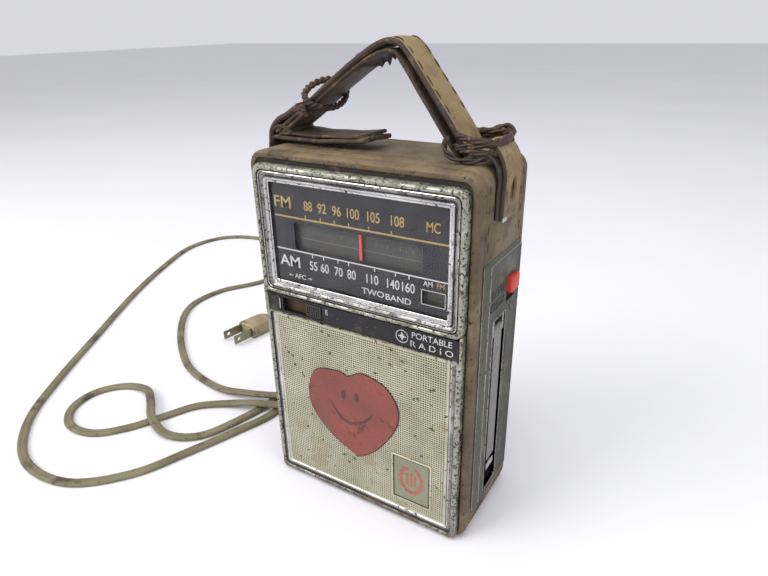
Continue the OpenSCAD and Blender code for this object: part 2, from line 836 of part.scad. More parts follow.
function on_floor(p) = [p[0], p[1], max(p[2], lead_t / 2)];

function lead_line(p) = [
    for (i = [0:len(p) - 2]) let (n = norm(p[i + 1] - p[i]) > long_span ? 2 : 1)
        for (k = [0:n - 1])
            on_floor(curve_point(p[max(i - 1, 0)], p[i], p[i + 1], p[min(i + 2, len(p) - 1)],
                k / n)),
    p[len(p) - 1]];

module power_cord() {
    q = lead_line(lead_route);
    n = len(q);
    rings = [for (i = [0:n - 1]) lead_ring(q[i], q[min(i + 1, n - 1)] - q[max(i - 1, 0)])];
    points = [for (ring = rings) for (p = ring) p];
    walls = [for (i = [0:n - 2]) for (k = [0:lead_sides - 1])
        let (a = i * lead_sides + k, b = i * lead_sides + (k + 1) % lead_sides)
        [a, b, b + lead_sides, a + lead_sides]];
    first = [for (k = [lead_sides - 1:-1:0]) k];
    last = [for (k = [0:lead_sides - 1]) (n - 1) * lead_sides + k];
    color("darkkhaki") polyhedron(points, concat(walls, [first, last]));
}

module cord_grip() {
    start = cab_back_in;
    color("dimgray") translate([inlet_x, start, inlet_z]) rotate([-90, 0, 0]) rotate_extrude()
        polygon([[0, 0], [4.9, 0], [4.9, back_y - start + gap], [6.2, back_y - start + gap],
            [6.2, back_y - start + 2], [4.6, back_y - start + 3], [3.4, 52 - start], [0, 52 - start]]);
}

module plug() {
    hole_back = 4;
    translate(plug_at) rotate([0, 0, -plug_turn]) {
        color("tan") {
            plate_xz([-plug_w / 2, plug_w / 2], [0, plug_l], [-plug_t / 2, plug_t / 2], 3);
            plate_xz([-plug_w / 3.4, plug_w / 3.4], [plug_l, plug_l + plug_tail], [-3.4, 3.4], 2.6);
        }
        color("silver") for (s = [-1, 1]) difference() {
            block([s * blade_gap / 2 - 0.75, -15.9, -3.2], [s * blade_gap / 2 + 0.75, 1, 3.2]);
            bar_x([s * blade_gap / 2 - 3, s * blade_gap / 2 + 3], -15.9 + hole_back, 0, 1.6);
        }
    }
}

leather_case();
cabinet();
front_bezel();
dial_window();
dial_plate();
dial_diffuser();
dial_bracket();
pointer_rail();
dial_pointer();
dial_cord();
dial_pulley();
tuning_drum();
tuning_shaft();
tuning_wheel();
tuning_capacitor();
volume_wheel();
volume_control();
control_strip();
afc_knob();
afc_switch();
name_badge();
speaker_grille();
heart_sticker();
corner_badge();
speaker_baffle();
speaker_frame();
speaker_cone();
speaker_magnet();
circuit_board();
if_transformers();
electrolytics();
transistors();
board_posts();
case_screws();
ferrite_rod();
ferrite_coil();
power_transformer();
battery_tray();
batteries();
battery_contacts();
battery_door();
door_pin();
earphone_jack();
side_panel();
band_knob();
band_switch();
band_flag();
aerial_pivot();
aerial_base();
aerial_middle();
aerial_tip();
strap_tabs();
strap_ends();
strap_outer();
strap_lining();
tie_wires();
loose_ring();
power_cord();
cord_grip();
plug();
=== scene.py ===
# Pocket radio in a worn leather case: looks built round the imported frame, in metres
import math
import random

import bmesh
import bpy
from mathutils import Matrix, Vector, noise


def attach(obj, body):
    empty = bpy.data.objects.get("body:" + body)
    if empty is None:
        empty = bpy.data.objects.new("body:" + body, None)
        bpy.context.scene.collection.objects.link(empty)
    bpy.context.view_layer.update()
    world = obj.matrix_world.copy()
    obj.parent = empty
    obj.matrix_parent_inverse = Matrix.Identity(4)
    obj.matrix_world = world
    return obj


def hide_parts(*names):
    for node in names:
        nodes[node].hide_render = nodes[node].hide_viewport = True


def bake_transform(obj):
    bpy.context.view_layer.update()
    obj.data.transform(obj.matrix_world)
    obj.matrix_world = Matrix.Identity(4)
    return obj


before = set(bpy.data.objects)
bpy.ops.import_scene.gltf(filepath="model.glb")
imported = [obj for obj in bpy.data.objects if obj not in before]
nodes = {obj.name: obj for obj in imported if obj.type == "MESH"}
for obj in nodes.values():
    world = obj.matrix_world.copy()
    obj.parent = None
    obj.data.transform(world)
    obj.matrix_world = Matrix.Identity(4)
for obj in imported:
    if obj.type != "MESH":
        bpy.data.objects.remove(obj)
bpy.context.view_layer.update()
mm = 0.001
random.seed(7)
print("frame loaded:", len(nodes), "nodes")

cameraSetup = {
    "place": (0.13187, -0.21397, 0.22005),
    "azimuth": 32.01,
    "elevation": 24.25,
    "roll": -1.16,
    "lens": 27.64,
}


def makeCamera(setup):
    az, el, roll = (math.radians(setup[k]) for k in ("azimuth", "elevation", "roll"))
    ahead = Vector((-math.sin(az) * math.cos(el), math.cos(az) * math.cos(el), -math.sin(el)))
    right = Vector((math.cos(az), math.sin(az), 0))
    up = right.cross(ahead)
    tiltedRight = right * math.cos(roll) + up * math.sin(roll)
    tiltedUp = up * math.cos(roll) - right * math.sin(roll)
    data = bpy.data.cameras.new("camera")
    data.lens = setup["lens"]
    data.sensor_width = 36
    data.clip_start, data.clip_end = 0.01, 50
    camera = bpy.data.objects.new("camera", data)
    turn = Matrix((tiltedRight, tiltedUp, -ahead)).transposed().to_4x4()
    camera.matrix_world = Matrix.Translation(setup["place"]) @ turn
    bpy.context.scene.collection.objects.link(camera)
    bpy.context.scene.camera = camera


makeCamera(cameraSetup)


# Finishes. Each one is layered: a mottled base, then patches, specks and grain on top

def newFinish(name):
    material = bpy.data.materials.new(name)
    material.use_nodes = True
    tree = material.node_tree
    place = tree.nodes.new("ShaderNodeTexCoord").outputs["Object"]
    return material, tree, tree.nodes["Principled BSDF"], place


def noiseField(tree, place, scale, detail=6, roughness=0.6, stretch=None, distortion=0.0):
    if stretch:
        squeeze = tree.nodes.new("ShaderNodeVectorMath")
        squeeze.operation = "MULTIPLY"
        tree.links.new(place, squeeze.inputs[0])
        squeeze.inputs[1].default_value = stretch
        place = squeeze.outputs[0]
    field = tree.nodes.new("ShaderNodeTexNoise")
    tree.links.new(place, field.inputs["Vector"])
    field.inputs["Scale"].default_value = scale
    field.inputs["Detail"].default_value = detail
    field.inputs["Roughness"].default_value = roughness
    field.inputs["Distortion"].default_value = distortion
    return field.outputs["Fac"]


def cellField(tree, place, scale):
    cells = tree.nodes.new("ShaderNodeTexVoronoi")
    tree.links.new(place, cells.inputs["Vector"])
    cells.inputs["Scale"].default_value = scale
    return cells.outputs["Distance"]


def ramp(tree, value, stops):
    # stops are (position, colour or grey)
    node = tree.nodes.new("ShaderNodeValToRGB")
    tree.links.new(value, node.inputs["Fac"])
    bar = node.color_ramp
    while len(bar.elements) < len(stops):
        bar.elements.new(0.5)
    for element, (position, colour) in zip(bar.elements, stops):
        element.position = position
        grey = isinstance(colour, (int, float))
        element.color = (colour, colour, colour, 1) if grey else (*colour, 1)
    return node.outputs["Color"]


def blendColour(tree, mask, under, over):
    node = tree.nodes.new("ShaderNodeMix")
    node.data_type = "RGBA"
    tree.links.new(mask, node.inputs["Factor"])
    for value, socket in ((under, node.inputs["A"]), (over, node.inputs["B"])):
        if isinstance(value, tuple):
            socket.default_value = (*value, 1)
        else:
            tree.links.new(value, socket)
    return node.outputs["Result"]


def combine(tree, kind, a, b):
    node = tree.nodes.new("ShaderNodeMath")
    node.operation = kind
    node.use_clamp = True
    for value, socket in ((a, node.inputs[0]), (b, node.inputs[1])):
        if isinstance(value, (int, float)):
            socket.default_value = value
        else:
            tree.links.new(value, socket)
    return node.outputs[0]


def bumpFrom(tree, shader, fields):
    # fields are (height, distance in metres), laid one on another
    normal = None
    for height, distance in fields:
        bump = tree.nodes.new("ShaderNodeBump")
        bump.inputs["Distance"].default_value = distance
        bump.inputs["Strength"].default_value = 1
        tree.links.new(height, bump.inputs["Height"])
        if normal:
            tree.links.new(normal, bump.inputs["Normal"])
        normal = bump.outputs["Normal"]
    tree.links.new(normal, shader.inputs["Normal"])


def layeredFinish(name, look):
    # base: colours of the mottled ground; patches and specks: colour, how much, size in 1/m
    material, tree, shader, place = newFinish(name)
    ground = noiseField(tree, place, look.get("groundScale", 45), stretch=look.get("stretch"))
    base = look["base"]
    colour = ramp(tree, ground, [(0.3 + 0.4 * i / max(1, len(base) - 1), c)
                                 for i, c in enumerate(base)])
    rough = look.get("rough", (0.4, 0.6))
    roughness = ramp(tree, ground, [(0.35, rough[0]), (0.65, rough[1])])
    metal = look.get("metal", 0)
    covered = None

    def cover(mask, over):
        # lays a colour over the ground where the mask is, and remembers where that was
        nonlocal colour, covered
        colour = blendColour(tree, mask, colour, over)
        covered = combine(tree, "MAXIMUM", covered, mask) if covered else mask

    for k, (patchColour, share, scale) in enumerate(look.get("patches", ())):
        field = noiseField(tree, place, scale, 8, 0.65, distortion=0.3 + k)
        cover(ramp(tree, field, [(0.64 - 0.3 * share, 0), (0.74 - 0.3 * share, 1)]), patchColour)
    for speckColour, share, scale in look.get("specks", ()):
        field = noiseField(tree, place, scale, 3, 0.5)
        cover(ramp(tree, field, [(0.70 - 0.2 * share, 0), (0.73 - 0.2 * share, 1)]), speckColour)
    if look.get("footDirt"):
        # grime and rust gather towards the bottom edge
        height = tree.nodes.new("ShaderNodeSeparateXYZ")
        tree.links.new(place, height.inputs[0])
        low = ramp(tree, combine(tree, "MULTIPLY", height.outputs["Z"], 40), [(0.08, 0.95), (0.55, 0.0)])
        drift = ramp(tree, noiseField(tree, place, 110, 8, 0.7), [(0.38, 0.15), (0.55, 1.0)])
        cover(combine(tree, "MULTIPLY", low, drift), look["footDirt"])
    if look.get("dust"):
        # dust settles on what faces upwards
        normal = tree.nodes.new("ShaderNodeNewGeometry").outputs["Normal"]
        split = tree.nodes.new("ShaderNodeSeparateXYZ")
        tree.links.new(normal, split.inputs[0])
        drift = noiseField(tree, place, 60, 8, 0.6)
        settled = ramp(tree, drift, [(0.36, 0.05), (0.60, 0.80)])
        facing = combine(tree, "MULTIPLY", split.outputs["Z"], settled)
        colour = blendColour(tree, facing, colour, look["dust"])
    tree.links.new(colour, shader.inputs["Base Color"])
    tree.links.new(roughness, shader.inputs["Roughness"])
    if metal and covered:
        tree.links.new(combine(tree, "SUBTRACT", metal, covered), shader.inputs["Metallic"])
    else:
        shader.inputs["Metallic"].default_value = metal
    grainScale, grainHeight = look.get("grain", (900, 0.02 * mm))
    fields = [(noiseField(tree, place, grainScale, 4, 0.6), grainHeight)]
    if look.get("pebble"):
        scale, height = look["pebble"]
        fields.append((cellField(tree, place, scale), height))
    if look.get("dents"):
        scale, height = look["dents"]
        fields.append((noiseField(tree, place, scale, 2, 0.5), height))
    if covered and look.get("flaking"):
        fields.append((covered, -look["flaking"]))
    bumpFrom(tree, shader, fields)
    for socket, value in look.get("sockets", {}).items():
        shader.inputs[socket].default_value = value
    return material


looks = {
    "caseLeather": {"base": [(0.054, 0.034, 0.016), (0.098, 0.066, 0.031), (0.138, 0.100, 0.048)],
                    "patches": [((0.165, 0.126, 0.066), 0.46, 38), ((0.022, 0.014, 0.009), 0.28, 26),
                                ((0.105, 0.054, 0.024), 0.32, 60)],
                    "specks": [((0.018, 0.012, 0.008), 0.32, 420)],
                    "dust": (0.195, 0.142, 0.074), "rough": (0.55, 0.78),
                    "pebble": (1150, 0.11 * mm), "dents": (55, 1.2 * mm), "grain": (600, 0.12 * mm)},
    "strapLeather": {"base": [(0.100, 0.060, 0.024), (0.190, 0.124, 0.050), (0.270, 0.185, 0.078)],
                     "patches": [((0.075, 0.044, 0.022), 0.34, 70), ((0.24, 0.19, 0.095), 0.3, 40)],
                     "specks": [((0.03, 0.018, 0.011), 0.24, 500)],
                     "dust": (0.31, 0.225, 0.100), "rough": (0.5, 0.75),
                     "pebble": (1300, 0.07 * mm), "dents": (120, 0.5 * mm), "grain": (700, 0.08 * mm)},
    "darkLeather": {"base": [(0.022, 0.013, 0.009), (0.052, 0.031, 0.018), (0.085, 0.054, 0.032)],
                    "patches": [((0.125, 0.088, 0.052), 0.28, 90)], "rough": (0.55, 0.8),
                    "pebble": (1400, 0.06 * mm), "dents": (140, 0.6 * mm), "grain": (800, 0.10 * mm)},
    "blackLeather": {"base": [(0.012, 0.009, 0.007), (0.030, 0.021, 0.015)],
                     "patches": [((0.06, 0.042, 0.028), 0.22, 120)], "rough": (0.5, 0.75),
                     "pebble": (1400, 0.06 * mm), "grain": (800, 0.10 * mm)},
    "leatherEdge": {"base": [(0.020, 0.012, 0.008), (0.045, 0.026, 0.016), (0.075, 0.047, 0.027)],
                    "patches": [((0.12, 0.078, 0.042), 0.3, 160)], "rough": (0.7, 0.9),
                    "grain": (1500, 0.12 * mm)},
    "thread": {"base": [(0.028, 0.018, 0.012), (0.075, 0.05, 0.03)], "rough": (0.7, 0.9),
               "stretch": (900, 900, 900), "groundScale": 2, "grain": (2500, 0.05 * mm)},
    "crownMetal": {"base": [(0.25, 0.25, 0.205), (0.39, 0.39, 0.335), (0.54, 0.54, 0.48)],
                   "patches": [((0.25, 0.255, 0.185), 0.60, 120), ((0.075, 0.080, 0.055), 0.30, 240),
                               ((0.125, 0.075, 0.040), 0.24, 60)],
                   "specks": [((0.016, 0.014, 0.012), 0.62, 900), ((0.022, 0.019, 0.015), 0.44, 420)],
                   "metal": 0.9, "rough": (0.24, 0.48), "flaking": 0.05 * mm,
                   "footDirt": (0.07, 0.045, 0.025), "dents": (260, 0.15 * mm)},
    "slopeMetal": {"base": [(0.17, 0.165, 0.16), (0.29, 0.28, 0.27), (0.46, 0.45, 0.44)],
                   "patches": [((0.13, 0.112, 0.09), 0.44, 150)],
                   "specks": [((0.012, 0.011, 0.010), 0.56, 800)],
                   "metal": 0.9, "rough": (0.24, 0.48), "flaking": 0.05 * mm,
                   "footDirt": (0.06, 0.04, 0.025), "dents": (300, 0.1 * mm)},
    "brightMetal": {"base": [(0.34, 0.34, 0.33), (0.52, 0.52, 0.51), (0.72, 0.72, 0.71)],
                    "patches": [((0.17, 0.15, 0.115), 0.26, 170)],
                    "specks": [((0.03, 0.026, 0.022), 0.36, 700)],
                    "metal": 1.0, "rough": (0.14, 0.30), "dents": (220, 0.07 * mm)},
    "grooveDirt": {"base": [(0.007, 0.006, 0.005), (0.026, 0.019, 0.013)],
                   "patches": [((0.070, 0.050, 0.032), 0.28, 200)], "rough": (0.7, 0.9)},
    "grilleMetal": {"base": [(0.37, 0.355, 0.245), (0.47, 0.455, 0.33), (0.55, 0.535, 0.41)],
                    "patches": [((0.36, 0.325, 0.215), 0.40, 55), ((0.24, 0.19, 0.12), 0.04, 32)],
                    "specks": [((0.07, 0.055, 0.038), 0.20, 300)],
                    "metal": 0.5, "rough": (0.34, 0.52), "dents": (60, 0.5 * mm)},
    "dialBlack": {"base": [(0.008, 0.008, 0.011), (0.014, 0.014, 0.018)],
                  "specks": [((0.05, 0.045, 0.04), 0.1, 700)], "rough": (0.3, 0.42),
                  "grain": (300, 0.001 * mm)},
    "stripBlack": {"base": [(0.007, 0.007, 0.008), (0.014, 0.013, 0.013)],
                   "patches": [((0.055, 0.045, 0.035), 0.22, 120)],
                   "specks": [((0.075, 0.062, 0.05), 0.14, 800)], "rough": (0.3, 0.5),
                   "sockets": {"Specular IOR Level": 0.3}},
    "scaleGrey": {"base": [(0.048, 0.048, 0.047), (0.068, 0.068, 0.066)],
                  "patches": [((0.085, 0.085, 0.072), 0.25, 260)], "rough": (0.5, 0.65)},
    "faintPrint": {"base": [(0.15, 0.145, 0.09), (0.21, 0.20, 0.13)], "rough": (0.5, 0.65)},
    "flagGreen": {"base": [(0.030, 0.034, 0.028), (0.055, 0.058, 0.048)], "rough": (0.4, 0.6)},
    "goldPrint": {"base": [(0.33, 0.225, 0.070), (0.44, 0.315, 0.11)], "rough": (0.45, 0.6),
                  "specks": [((0.07, 0.05, 0.02), 0.15, 1600)]},
    "whitePrint": {"base": [(0.42, 0.42, 0.41), (0.58, 0.58, 0.56)], "rough": (0.45, 0.6),
                   "specks": [((0.10, 0.09, 0.08), 0.15, 1600)]},
    "pointerRed": {"base": [(0.55, 0.060, 0.040), (0.66, 0.10, 0.06)], "rough": (0.35, 0.5)},
    "heartRed": {"base": [(0.150, 0.036, 0.026), (0.205, 0.050, 0.037), (0.245, 0.066, 0.048)],
                 "patches": [((0.150, 0.060, 0.040), 0.40, 60), ((0.105, 0.030, 0.023), 0.26, 90)],
                 "specks": [((0.05, 0.016, 0.012), 0.18, 900)],
                 "rough": (0.55, 0.75), "pebble": (1500, 0.05 * mm)},
    "heartDark": {"base": [(0.018, 0.008, 0.007), (0.040, 0.016, 0.013)], "rough": (0.6, 0.8)},
    "heartFace": {"base": [(0.055, 0.026, 0.023), (0.090, 0.044, 0.038)], "rough": (0.6, 0.8)},
    "badgeField": {"base": [(0.185, 0.19, 0.120), (0.27, 0.27, 0.185)],
                   "specks": [((0.08, 0.07, 0.045), 0.24, 500)], "metal": 0.3, "rough": (0.4, 0.6)},
    "badgeGold": {"base": [(0.46, 0.42, 0.28), (0.66, 0.62, 0.45)],
                  "specks": [((0.07, 0.05, 0.03), 0.3, 700)], "metal": 0.75, "rough": (0.3, 0.5)},
    "coral": {"base": [(0.30, 0.075, 0.050), (0.40, 0.12, 0.082)], "rough": (0.5, 0.7)},
    "panelGreen": {"base": [(0.026, 0.027, 0.019), (0.046, 0.048, 0.033), (0.070, 0.072, 0.051)],
                   "patches": [((0.100, 0.084, 0.054), 0.34, 75), ((0.014, 0.014, 0.011), 0.24, 120)],
                   "specks": [((0.13, 0.115, 0.085), 0.18, 700)],
                   "metal": 0.3, "rough": (0.42, 0.64), "flaking": 0.03 * mm},
    "panelEdge": {"base": [(0.058, 0.063, 0.043), (0.110, 0.115, 0.082)],
                  "patches": [((0.050, 0.039, 0.026), 0.40, 110)],
                  "specks": [((0.020, 0.017, 0.013), 0.38, 600)],
                  "metal": 0.4, "rough": (0.4, 0.62)},
    "knobRed": {"base": [(0.43, 0.018, 0.012), (0.56, 0.036, 0.020)],
                "specks": [((0.12, 0.012, 0.010), 0.14, 900)], "rough": (0.3, 0.45)},
    "rustyWire": {"base": [(0.028, 0.015, 0.010), (0.060, 0.030, 0.018), (0.100, 0.050, 0.028)],
                  "patches": [((0.018, 0.012, 0.010), 0.38, 130), ((0.175, 0.088, 0.042), 0.22, 200)],
                  "metal": 0.3, "rough": (0.5, 0.78), "grain": (1400, 0.15 * mm),
                  "flaking": 0.05 * mm},
    "eyeletRust": {"base": [(0.115, 0.060, 0.028), (0.21, 0.125, 0.058)],
                   "patches": [((0.04, 0.024, 0.014), 0.35, 300)], "rough": (0.6, 0.8),
                   "grain": (1800, 0.12 * mm)},
    "leadPlastic": {"base": [(0.115, 0.098, 0.048), (0.165, 0.145, 0.076), (0.215, 0.192, 0.108)],
                    "patches": [((0.060, 0.042, 0.022), 0.35, 60)],
                    "specks": [((0.03, 0.022, 0.015), 0.2, 500)],
                    "rough": (0.4, 0.6), "grain": (900, 0.04 * mm)},
    "plugPlastic": {"base": [(0.25, 0.195, 0.105), (0.35, 0.285, 0.17)],
                    "patches": [((0.13, 0.09, 0.045), 0.3, 110)],
                    "specks": [((0.06, 0.035, 0.02), 0.2, 700)], "rough": (0.4, 0.6)},
    "bladeBrass": {"base": [(0.17, 0.165, 0.105), (0.30, 0.285, 0.19)],
                   "patches": [((0.08, 0.055, 0.03), 0.3, 220)], "metal": 0.95, "rough": (0.25, 0.5)},
    "blackPlastic": {"base": [(0.012, 0.012, 0.012), (0.028, 0.026, 0.024)],
                     "patches": [((0.07, 0.055, 0.04), 0.2, 140)], "rough": (0.35, 0.55)},
    "greyPlastic": {"base": [(0.055, 0.052, 0.050), (0.085, 0.080, 0.075)],
                    "patches": [((0.13, 0.105, 0.08), 0.2, 90)], "rough": (0.45, 0.65)},
    "steel": {"base": [(0.40, 0.40, 0.39), (0.58, 0.58, 0.57)],
              "patches": [((0.22, 0.13, 0.07), 0.15, 140)], "metal": 0.95, "rough": (0.25, 0.45)},
    "aerialMetal": {"base": [(0.15, 0.15, 0.135), (0.27, 0.265, 0.24)],
                    "patches": [((0.09, 0.075, 0.05), 0.34, 120)],
                    "specks": [((0.03, 0.026, 0.022), 0.34, 700)], "metal": 0.9, "rough": (0.28, 0.46),
                    "stretch": (1, 1, 0.12)},
    "brass": {"base": [(0.42, 0.29, 0.10), (0.62, 0.46, 0.20)], "metal": 0.95, "rough": (0.25, 0.45)},
    "string": {"base": [(0.44, 0.38, 0.27), (0.60, 0.54, 0.40)], "rough": (0.8, 0.95),
               "grain": (3000, 0.08 * mm)},
    "nylon": {"base": [(0.50, 0.46, 0.36), (0.62, 0.58, 0.47)], "rough": (0.4, 0.55)},
    "whitePlastic": {"base": [(0.62, 0.61, 0.56), (0.74, 0.73, 0.68)], "rough": (0.4, 0.6)},
    "fibreBoard": {"base": [(0.060, 0.034, 0.018), (0.11, 0.068, 0.038)], "rough": (0.8, 0.95),
                   "grain": (1200, 0.15 * mm)},
    "paperCone": {"base": [(0.045, 0.040, 0.035), (0.075, 0.068, 0.06)], "rough": (0.85, 0.95),
                  "grain": (1500, 0.12 * mm)},
    "ferriteBlack": {"base": [(0.018, 0.017, 0.018), (0.038, 0.036, 0.036)], "rough": (0.5, 0.7),
                     "grain": (1600, 0.08 * mm)},
    "copperWire": {"base": [(0.34, 0.12, 0.045), (0.46, 0.19, 0.08)], "metal": 0.8,
                   "rough": (0.3, 0.5), "grain": (2500, 0.2 * mm)},
    "phenolic": {"base": [(0.21, 0.105, 0.035), (0.30, 0.165, 0.062)],
                 "specks": [((0.42, 0.30, 0.16), 0.2, 500)], "rough": (0.35, 0.55)},
    "blueSleeve": {"base": [(0.028, 0.06, 0.20), (0.045, 0.09, 0.27)], "rough": (0.3, 0.45)},
    "cellJacket": {"base": [(0.03, 0.075, 0.13), (0.05, 0.11, 0.19)],
                   "patches": [((0.45, 0.42, 0.36), 0.1, 90)], "metal": 0.3, "rough": (0.3, 0.5)},
    "coreIron": {"base": [(0.13, 0.13, 0.135), (0.23, 0.225, 0.22)], "stretch": (1, 60, 1),
                 "patches": [((0.16, 0.09, 0.05), 0.25, 120)], "metal": 0.7, "rough": (0.4, 0.6)},
    "floorPaper": {"base": [(0.735, 0.73, 0.76), (0.765, 0.76, 0.79)], "groundScale": 3,
                   "rough": (0.75, 0.85), "grain": (300, 0.02 * mm)},
}
finishes = {name: layeredFinish(name, look) for name, look in looks.items()}


def clearFinish():
    # a scuffed clear window: mostly see-through, with haze and dust that hide a little more
    material, tree, shader, place = newFinish("clearWindow")
    haze = noiseField(tree, place, 90, 8, 0.7)
    dustSpots = noiseField(tree, place, 1400, 2, 0.5)
    alpha = combine(tree, "MAXIMUM", ramp(tree, haze, [(0.42, 0.02), (0.75, 0.075)]),
                    ramp(tree, dustSpots, [(0.72, 0.0), (0.76, 0.3)]))
    tree.links.new(alpha, shader.inputs["Alpha"])
    tree.links.new(ramp(tree, haze, [(0.3, (0.13, 0.13, 0.135)), (0.7, (0.26, 0.24, 0.21))]),
                   shader.inputs["Base Color"])
    tree.links.new(ramp(tree, haze, [(0.3, 0.05), (0.7, 0.22)]), shader.inputs["Roughness"])
    return material


finishes["clearWindow"] = clearFinish()
print("finishes:", len(finishes))


# Mesh helpers

def addPiece(name, mesh, body="radio", finish=None, smoothAngle=35):
    piece = bpy.data.objects.new(name, mesh)
    bpy.context.scene.collection.objects.link(piece)
    for key in ([finish] if isinstance(finish, str) else finish or ()):
        mesh.materials.append(finishes[key])
    if smoothAngle:
        mesh.polygons.foreach_set("use_smooth", [True] * len(mesh.polygons))
        mesh.set_sharp_from_angle(angle=math.radians(smoothAngle))
    if body:
        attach(piece, body)
    return piece


def meshFrom(name, verts, faces):
    mesh = bpy.data.meshes.new(name)
    mesh.from_pydata([tuple(v) for v in verts], [], faces)
    mesh.update()
    return mesh


def joinMeshes(name, parts):
    # parts are (mesh, material index); they become one mesh
    verts, faces, indices = [], [], []
    for mesh, index in parts:
        start = len(verts)
        verts += [v.co.copy() for v in mesh.vertices]
        faces += [tuple(start + i for i in face.vertices) for face in mesh.polygons]
        indices += [index] * len(mesh.polygons)
        bpy.data.meshes.remove(mesh)
    joined = meshFrom(name, verts, faces)
    joined.polygons.foreach_set("material_index", indices)
    return joined


def smoothLine(points, steps):
    # Catmull-Rom through the points, the same curve as the CAD lines follow
    line = []
    p = [Vector(q) for q in points]
    for i in range(len(p) - 1):
        a, b, c, d = p[max(i - 1, 0)], p[i], p[i + 1], p[min(i + 2, len(p) - 1)]
        for k in range(steps):
            t = k / steps
            line.append(0.5 * (2 * b + (c - a) * t + (2 * a - 5 * b + 4 * c - d) * t * t
                               + (3 * b - a - 3 * c + d) * t ** 3))
    line.append(p[-1])
    return line


def heading(line, i, closed=False):
    # which way a line runs at its point i
    n = len(line)
    if closed:
        return (line[(i + 1) % n] - line[i - 1]).normalized()
    return (line[min(i + 1, n - 1)] - line[max(i - 1, 0)]).normalized()


def sweep(name, line, section, upward=Vector((0, 0, 1)), closed=False, scale=None):
    # section is a list of (side, up) offsets; scale gives its size at a share of the way along
    verts, faces = [], []
    n = len(line)
    m = len(section)
    for i, p in enumerate(line):
        along = heading(line, i, closed)
        side = along.cross(upward).normalized()
        up = side.cross(along)
        size = scale(i / (n - 1)) if scale else 1
        verts += [p + side * (s * size) + up * (u * size) for s, u in section]
    for i in range(n if closed else n - 1):
        for k in range(m):
            a, b = i * m + k, i * m + (k + 1) % m
            c, d = ((i + 1) % n) * m + (k + 1) % m, ((i + 1) % n) * m + k
            faces.append((a, b, c, d))
    if not closed:
        faces += [tuple(range(m - 1, -1, -1)), tuple(range((n - 1) * m, n * m))]
    return meshFrom(name, verts, faces)


def roundSection(radius, sides=8):
    return oval(0, 0, radius, radius, sides)


def bandSection(half, thick, edge=0.35, crown=0.0, across=8):
    # a flat band with rounded edges: across divides its width
    top = []
    for k in range(across + 1):
        u = -1 + 2 * k / across
        top.append((u * (half - edge * thick), thick / 2 + crown * (1 - u * u)))
    bottom = [(s, -thick / 2 + crown * (1 - (s / half) ** 2)) for s, u in reversed(top)]
    side = 0.12 * thick
    return top + [(half, side), (half, -side)] + bottom + [(-half, -side), (-half, side)]


def roundedRing(x0, x1, z0, z1, radius, steps=6):
    # a rounded rectangle as (x, z) pairs, anticlockwise from its right side
    ring = []
    for cx, cz, start in ((x1 - radius, z1 - radius, 0), (x0 + radius, z1 - radius, 90),
                          (x0 + radius, z0 + radius, 180), (x1 - radius, z0 + radius, 270)):
        for k in range(steps + 1):
            a = math.radians(start + 90 * k / steps)
            ring.append((cx + radius * math.cos(a), cz + radius * math.sin(a)))
    return ring


def oval(cx, cz, rx, rz, sides):
    return [(cx + rx * math.cos(2 * math.pi * k / sides), cz + rz * math.sin(2 * math.pi * k / sides))
            for k in range(sides)]


def standing(outline, y):
    # an outline of (x, z) pairs in millimetres, stood up at y
    return [Vector((x, y, z)) * mm for x, z in outline]


def inMetres(points):
    return [Vector(p) * mm for p in points]


def loft(name, rings, capFirst=False, capLast=False, bands=None):
    # rings hold points in space; bands gives each stretch between rings its material index
    m = len(rings[0])
    verts = [v for ring in rings for v in ring]
    faces, indices = [], []
    for i in range(len(rings) - 1):
        for k in range(m):
            n = (k + 1) % m
            faces.append((i * m + k, i * m + n, (i + 1) * m + n, (i + 1) * m + k))
            indices.append(bands[i] if bands else 0)
    if capFirst:
        faces.append(tuple(range(m - 1, -1, -1)))
        indices.append(bands[0] if bands else 0)
    if capLast:
        faces.append(tuple(range((len(rings) - 1) * m, len(rings) * m)))
        indices.append(bands[-1] if bands else 0)
    mesh = meshFrom(name, verts, faces)
    mesh.polygons.foreach_set("material_index", indices)
    outward(mesh)
    return mesh


def outward(mesh):
    work = bmesh.new()
    work.from_mesh(mesh)
    bmesh.ops.recalc_face_normals(work, faces=work.faces)
    work.to_mesh(mesh)
    work.free()


def softBox(name, low, high, bevel, segments=2):
    # a block with rounded edges, from its lowest and highest corners in millimetres
    work = bmesh.new()
    bmesh.ops.create_cube(work, size=1)
    for v in work.verts:
        v.co = Vector([(low[i] if v.co[i] < 0 else high[i]) * mm for i in range(3)])
    if bevel:
        bmesh.ops.bevel(work, geom=work.edges[:], offset=bevel * mm, segments=segments, profile=0.6,
                        affect="EDGES")
    mesh = bpy.data.meshes.new(name)
    work.to_mesh(mesh)
    work.free()
    return mesh


def rod(name, start, end, radius, sides=24):
    # a round bar between two points in millimetres
    a, b = Vector(start) * mm, Vector(end) * mm
    along = (b - a).normalized()
    side = along.orthogonal().normalized()
    other = along.cross(side)
    around = [(side * c + other * s) * radius * mm for c, s in oval(0, 0, 1, 1, sides)]
    return loft(name, [[p + out for out in around] for p in (a, b)], True, True)


def carve(mesh, cutter, kind="DIFFERENCE"):
    # cuts one mesh with another and returns the first, changed
    target = bpy.data.objects.new("carved", mesh)
    tool = bpy.data.objects.new("cutter", cutter)
    for thing in (target, tool):
        bpy.context.scene.collection.objects.link(thing)
    cut = target.modifiers.new("cut", "BOOLEAN")
    cut.operation = kind
    cut.object = tool
    cut.solver = "EXACT"
    cut.use_self = True
    depsgraph = bpy.context.evaluated_depsgraph_get()
    done = bpy.data.meshes.new_from_object(target.evaluated_get(depsgraph))
    for thing in (target, tool):
        bpy.data.objects.remove(thing)
    bpy.data.meshes.remove(cutter)
    return done


